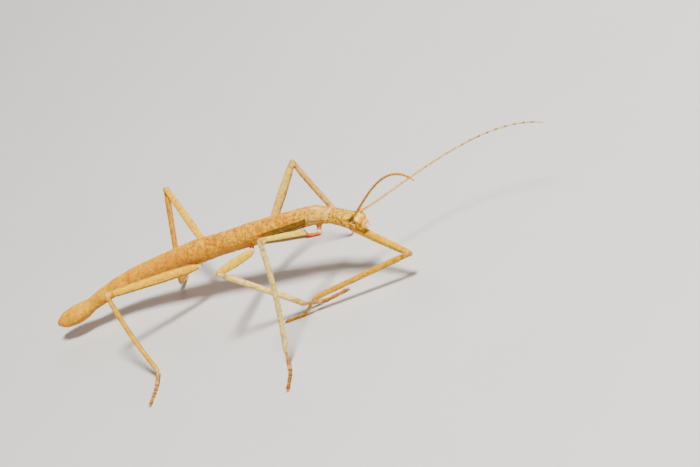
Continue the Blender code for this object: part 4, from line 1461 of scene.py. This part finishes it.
groups = []
for k, (side, tube) in enumerate(antennae.items()):
    groups.append(hairs_on(tube, 1500, 0.03, 0.99, 0.08, 0.16, 100 + k))
    groups.append(hairs_on(tube, BRISTLES[side], 0.02, 0.16, 0.16, 0.3, 110 + k, 0.85))
places, size = gather(groups)
coat_piece("setae_feelers", hair, places, even(size), rng.uniform(0.35, 0.6, len(size)), hair_skin)

groups = []
for k, (coxa, femur, _, tibia, tarsus) in enumerate(legs.values()):
    for tube, count, low, high, short, long_, under in (
            (femur[0], 260, 0.12, 0.97, 0.08, 0.16, 0.0), (tibia[0], 420, 0.05, 0.97, 0.12, 0.24, 0.2),
            (tarsus[0], 420, 0.08, 0.97, 0.14, 0.26, 0.15), (coxa[0], 50, 0.3, 0.95, 0.08, 0.15, 0.0)):
        groups.append(hairs_on(tube, count, low, high, short, long_, 200 + 7 * k + count, under))
places, size = gather(groups)
clear = places[3][:, 2] > HAIR_CLEAR
places, size = tuple(v[clear] for v in places), size[clear]
coat_piece("setae_legs", hair, places, even(size), rng.uniform(0.4, 0.65, len(size)), hair_skin)

station, turn = scatter(33, 2600, 0.2, seta_density, TAIL_END + 0.4, HEAD_END - 0.3)
size = rng.uniform(0.07, 0.14, len(station)) * (1 + 0.4 * step(-station, 44.0, 50.0))
coat_piece("setae_trunk", hair, trunk_places(station, turn), even(size), rng.uniform(0.55, 0.75, len(size)),
           hair_skin)


# ---- eyes, claws and foot pads -------------------------------------------------------------------


def make_eye(name, side, material):
    """A dome set square to the head, with its place from the middle kept for the rings."""
    _, forward, left, up = body_frame(HEAD_END)
    rings, sides = 25, 48
    theta = np.linspace(0.0, math.pi, rings + 2)[1:-1, None, None]
    angle = (np.arange(sides) / sides * TAU)[:, None]
    out = unit(left * side * 0.9 + forward * 0.25 + up * 0.3)
    across = unit(np.cross(up, out))
    over = np.cross(out, across)
    ways = out * np.cos(theta) + (across * np.cos(angle) + over * np.sin(angle))[None] * np.sin(theta)
    ways = np.vstack([ways.reshape(-1, 3), out, -out])
    basis = np.stack([forward, left, up])
    points = head_place(*EYE_PLACE, side) + (ways @ basis.T * np.array(EYE_RADII)) @ basis
    faces = [face[:1] + face[:0:-1] for face in shell_faces(rings, sides)]  # the other way round
    eye = make_object("eye_dome_" + name, points, faces)
    middle = unit(out + over * 0.4 - across * 0.25)
    dome = np.arccos(np.clip(ways @ middle, -1, 1)) / (math.pi / 2)
    fill(eye.data.attributes.new("dome", "FLOAT", "POINT").data, "value", dome)
    eye.data.materials.append(material)
    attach(eye, "root")
    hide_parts("eye_" + name)


eye_look = eye_material()
for name, feeler in ANTENNAE.items():
    make_eye(name, feeler["side"], eye_look)

claw_horn = plain("claw_horn", srgb(96, 38, 20), srgb(150, 74, 34), 0.3, 3000.0, 0.00002, coat=0.4)
foot_pad = plain("foot_pad", srgb(222, 176, 128), srgb(190, 136, 92), 0.5, 4000.0, 0.00003)
claws, pads = [], []
for leg in LEGS.values():
    tip = tarsus_line(leg, leg_places(leg)[3], np.array((1.0,)))[0]
    flat = direction(leg["tarsus"], 0.0)
    aside = np.cross(UP, flat)
    t = np.linspace(0.0, 1.0, 9)
    drop = -0.2 * (1 - np.cos(t * 2.0)) + 0.1 * t
    for side in (1, -1):
        line = (tip + UP * 0.02 + flat * (0.05 + 0.62 * np.sin(t * 1.5))[:, None]
                + aside * (side * (0.1 + 0.22 * np.sin(t * 1.4)))[:, None] + UP * drop[:, None])
        line[:, 2] = np.maximum(line[:, 2], 0.03)
        claws.append(Tube(0, line, 0.07 - 0.058 * t, 0.085 - 0.072 * t, 10, t, dome=(0.3, 0.8)).on_floor())
    t = np.linspace(0.0, 1.0, 8)
    line = tip + flat * (0.1 + 0.34 * t)[:, None] - UP * (0.02 + 0.08 * t)[:, None]
    width, depth = 0.1 + 0.07 * np.sin(t * 2.6), 0.08 + 0.02 * t
    pads.append(Tube(0, line, width, depth, 14, t, dome=(0.6, 0.7)).on_floor())
for name, tubes, material in (("claws", claws, claw_horn), ("foot_pads", pads, foot_pad)):
    piece = joined(name, tubes, keep_places=False)
    piece.data.materials.append(material)
    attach(piece, "root")

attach(skin, "root")
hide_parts(*[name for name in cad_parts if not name.startswith("eye_")])

# ---- floor, light and camera ---------------------------------------------------------------------

FLOOR_HALF = 3.0
corners = [(x * FLOOR_HALF, y * FLOOR_HALF, 0) for x, y in ((-1, -1), (1, -1), (1, 1), (-1, 1))]
floor_mesh = bpy.data.meshes.new("floor")
floor_mesh.from_pydata(corners, [], [(0, 1, 2, 3)])
floor_look = plain("floor_paint", (0.76, 0.75, 0.735), (0.74, 0.73, 0.715), 0.75, 30.0, 0.0002)
floor_mesh.materials.append(floor_look)
add_object("floor", floor_mesh)

AIM = np.array((9.35, 9.79, -0.49))
CAMERA_AZIMUTH, CAMERA_RISE, CAMERA_ROLL = -42.68, 26.0, 36.2
CAMERA_DISTANCE, CAMERA_LENS, CAMERA_SENSOR = 343.2, 105.07, 36.0
CAMERA_NEAR, CAMERA_FAR = 0.01, 20.0


def camera_axes():
    """Right, up and back of the camera, turned about its own line of sight by the roll."""
    back = direction(CAMERA_AZIMUTH, CAMERA_RISE)
    right = unit(np.cross(UP, back))
    up = np.cross(back, right)
    roll = math.radians(CAMERA_ROLL)
    return right * math.cos(roll) - up * math.sin(roll), up * math.cos(roll) + right * math.sin(roll), back


def add_light(name, towards, distance, size, power, colour):
    """An area light that looks at the insect from a direction."""
    data = bpy.data.lights.new(name, "AREA")
    data.size, data.energy, data.color = size, power, colour
    obj = add_object(name, data)
    obj.location = Vector(to_row(AIM)) + Vector(towards).normalized() * distance
    obj.rotation_euler = Vector(towards).to_track_quat("Z", "Y").to_euler()


right, up, back = camera_axes()
camera_data = bpy.data.cameras.new("camera")
camera_data.lens, camera_data.sensor_width = CAMERA_LENS, CAMERA_SENSOR
camera_data.clip_start, camera_data.clip_end = CAMERA_NEAR, CAMERA_FAR
camera = add_object("camera", camera_data)
turned = np.stack([right, up, back, to_row(AIM + back * CAMERA_DISTANCE)], -1)
camera.matrix_world = Matrix([*turned.tolist(), (0, 0, 0, 1)])
bpy.context.scene.camera = camera
add_light("key", back + up * 0.9 - right * 0.25, 0.7, 0.15, 10.6, (1.0, 0.96, 0.9))
add_light("fill", back * 0.6 + right * 1.0 + UP * 0.3, 0.8, 0.5, 1.4, (0.97, 0.98, 1.0))
add_light("rim", -back * 0.7 + up * 0.8 + UP * 0.3, 0.8, 0.4, 2.2, (1.0, 0.97, 0.92))

world = bpy.data.worlds.new("studio")
bpy.context.scene.world = world
world.use_nodes = True
sky = world.node_tree.nodes["Background"].inputs
sky["Color"].default_value, sky["Strength"].default_value = (0.9, 0.93, 1.0, 1.0), 0.13
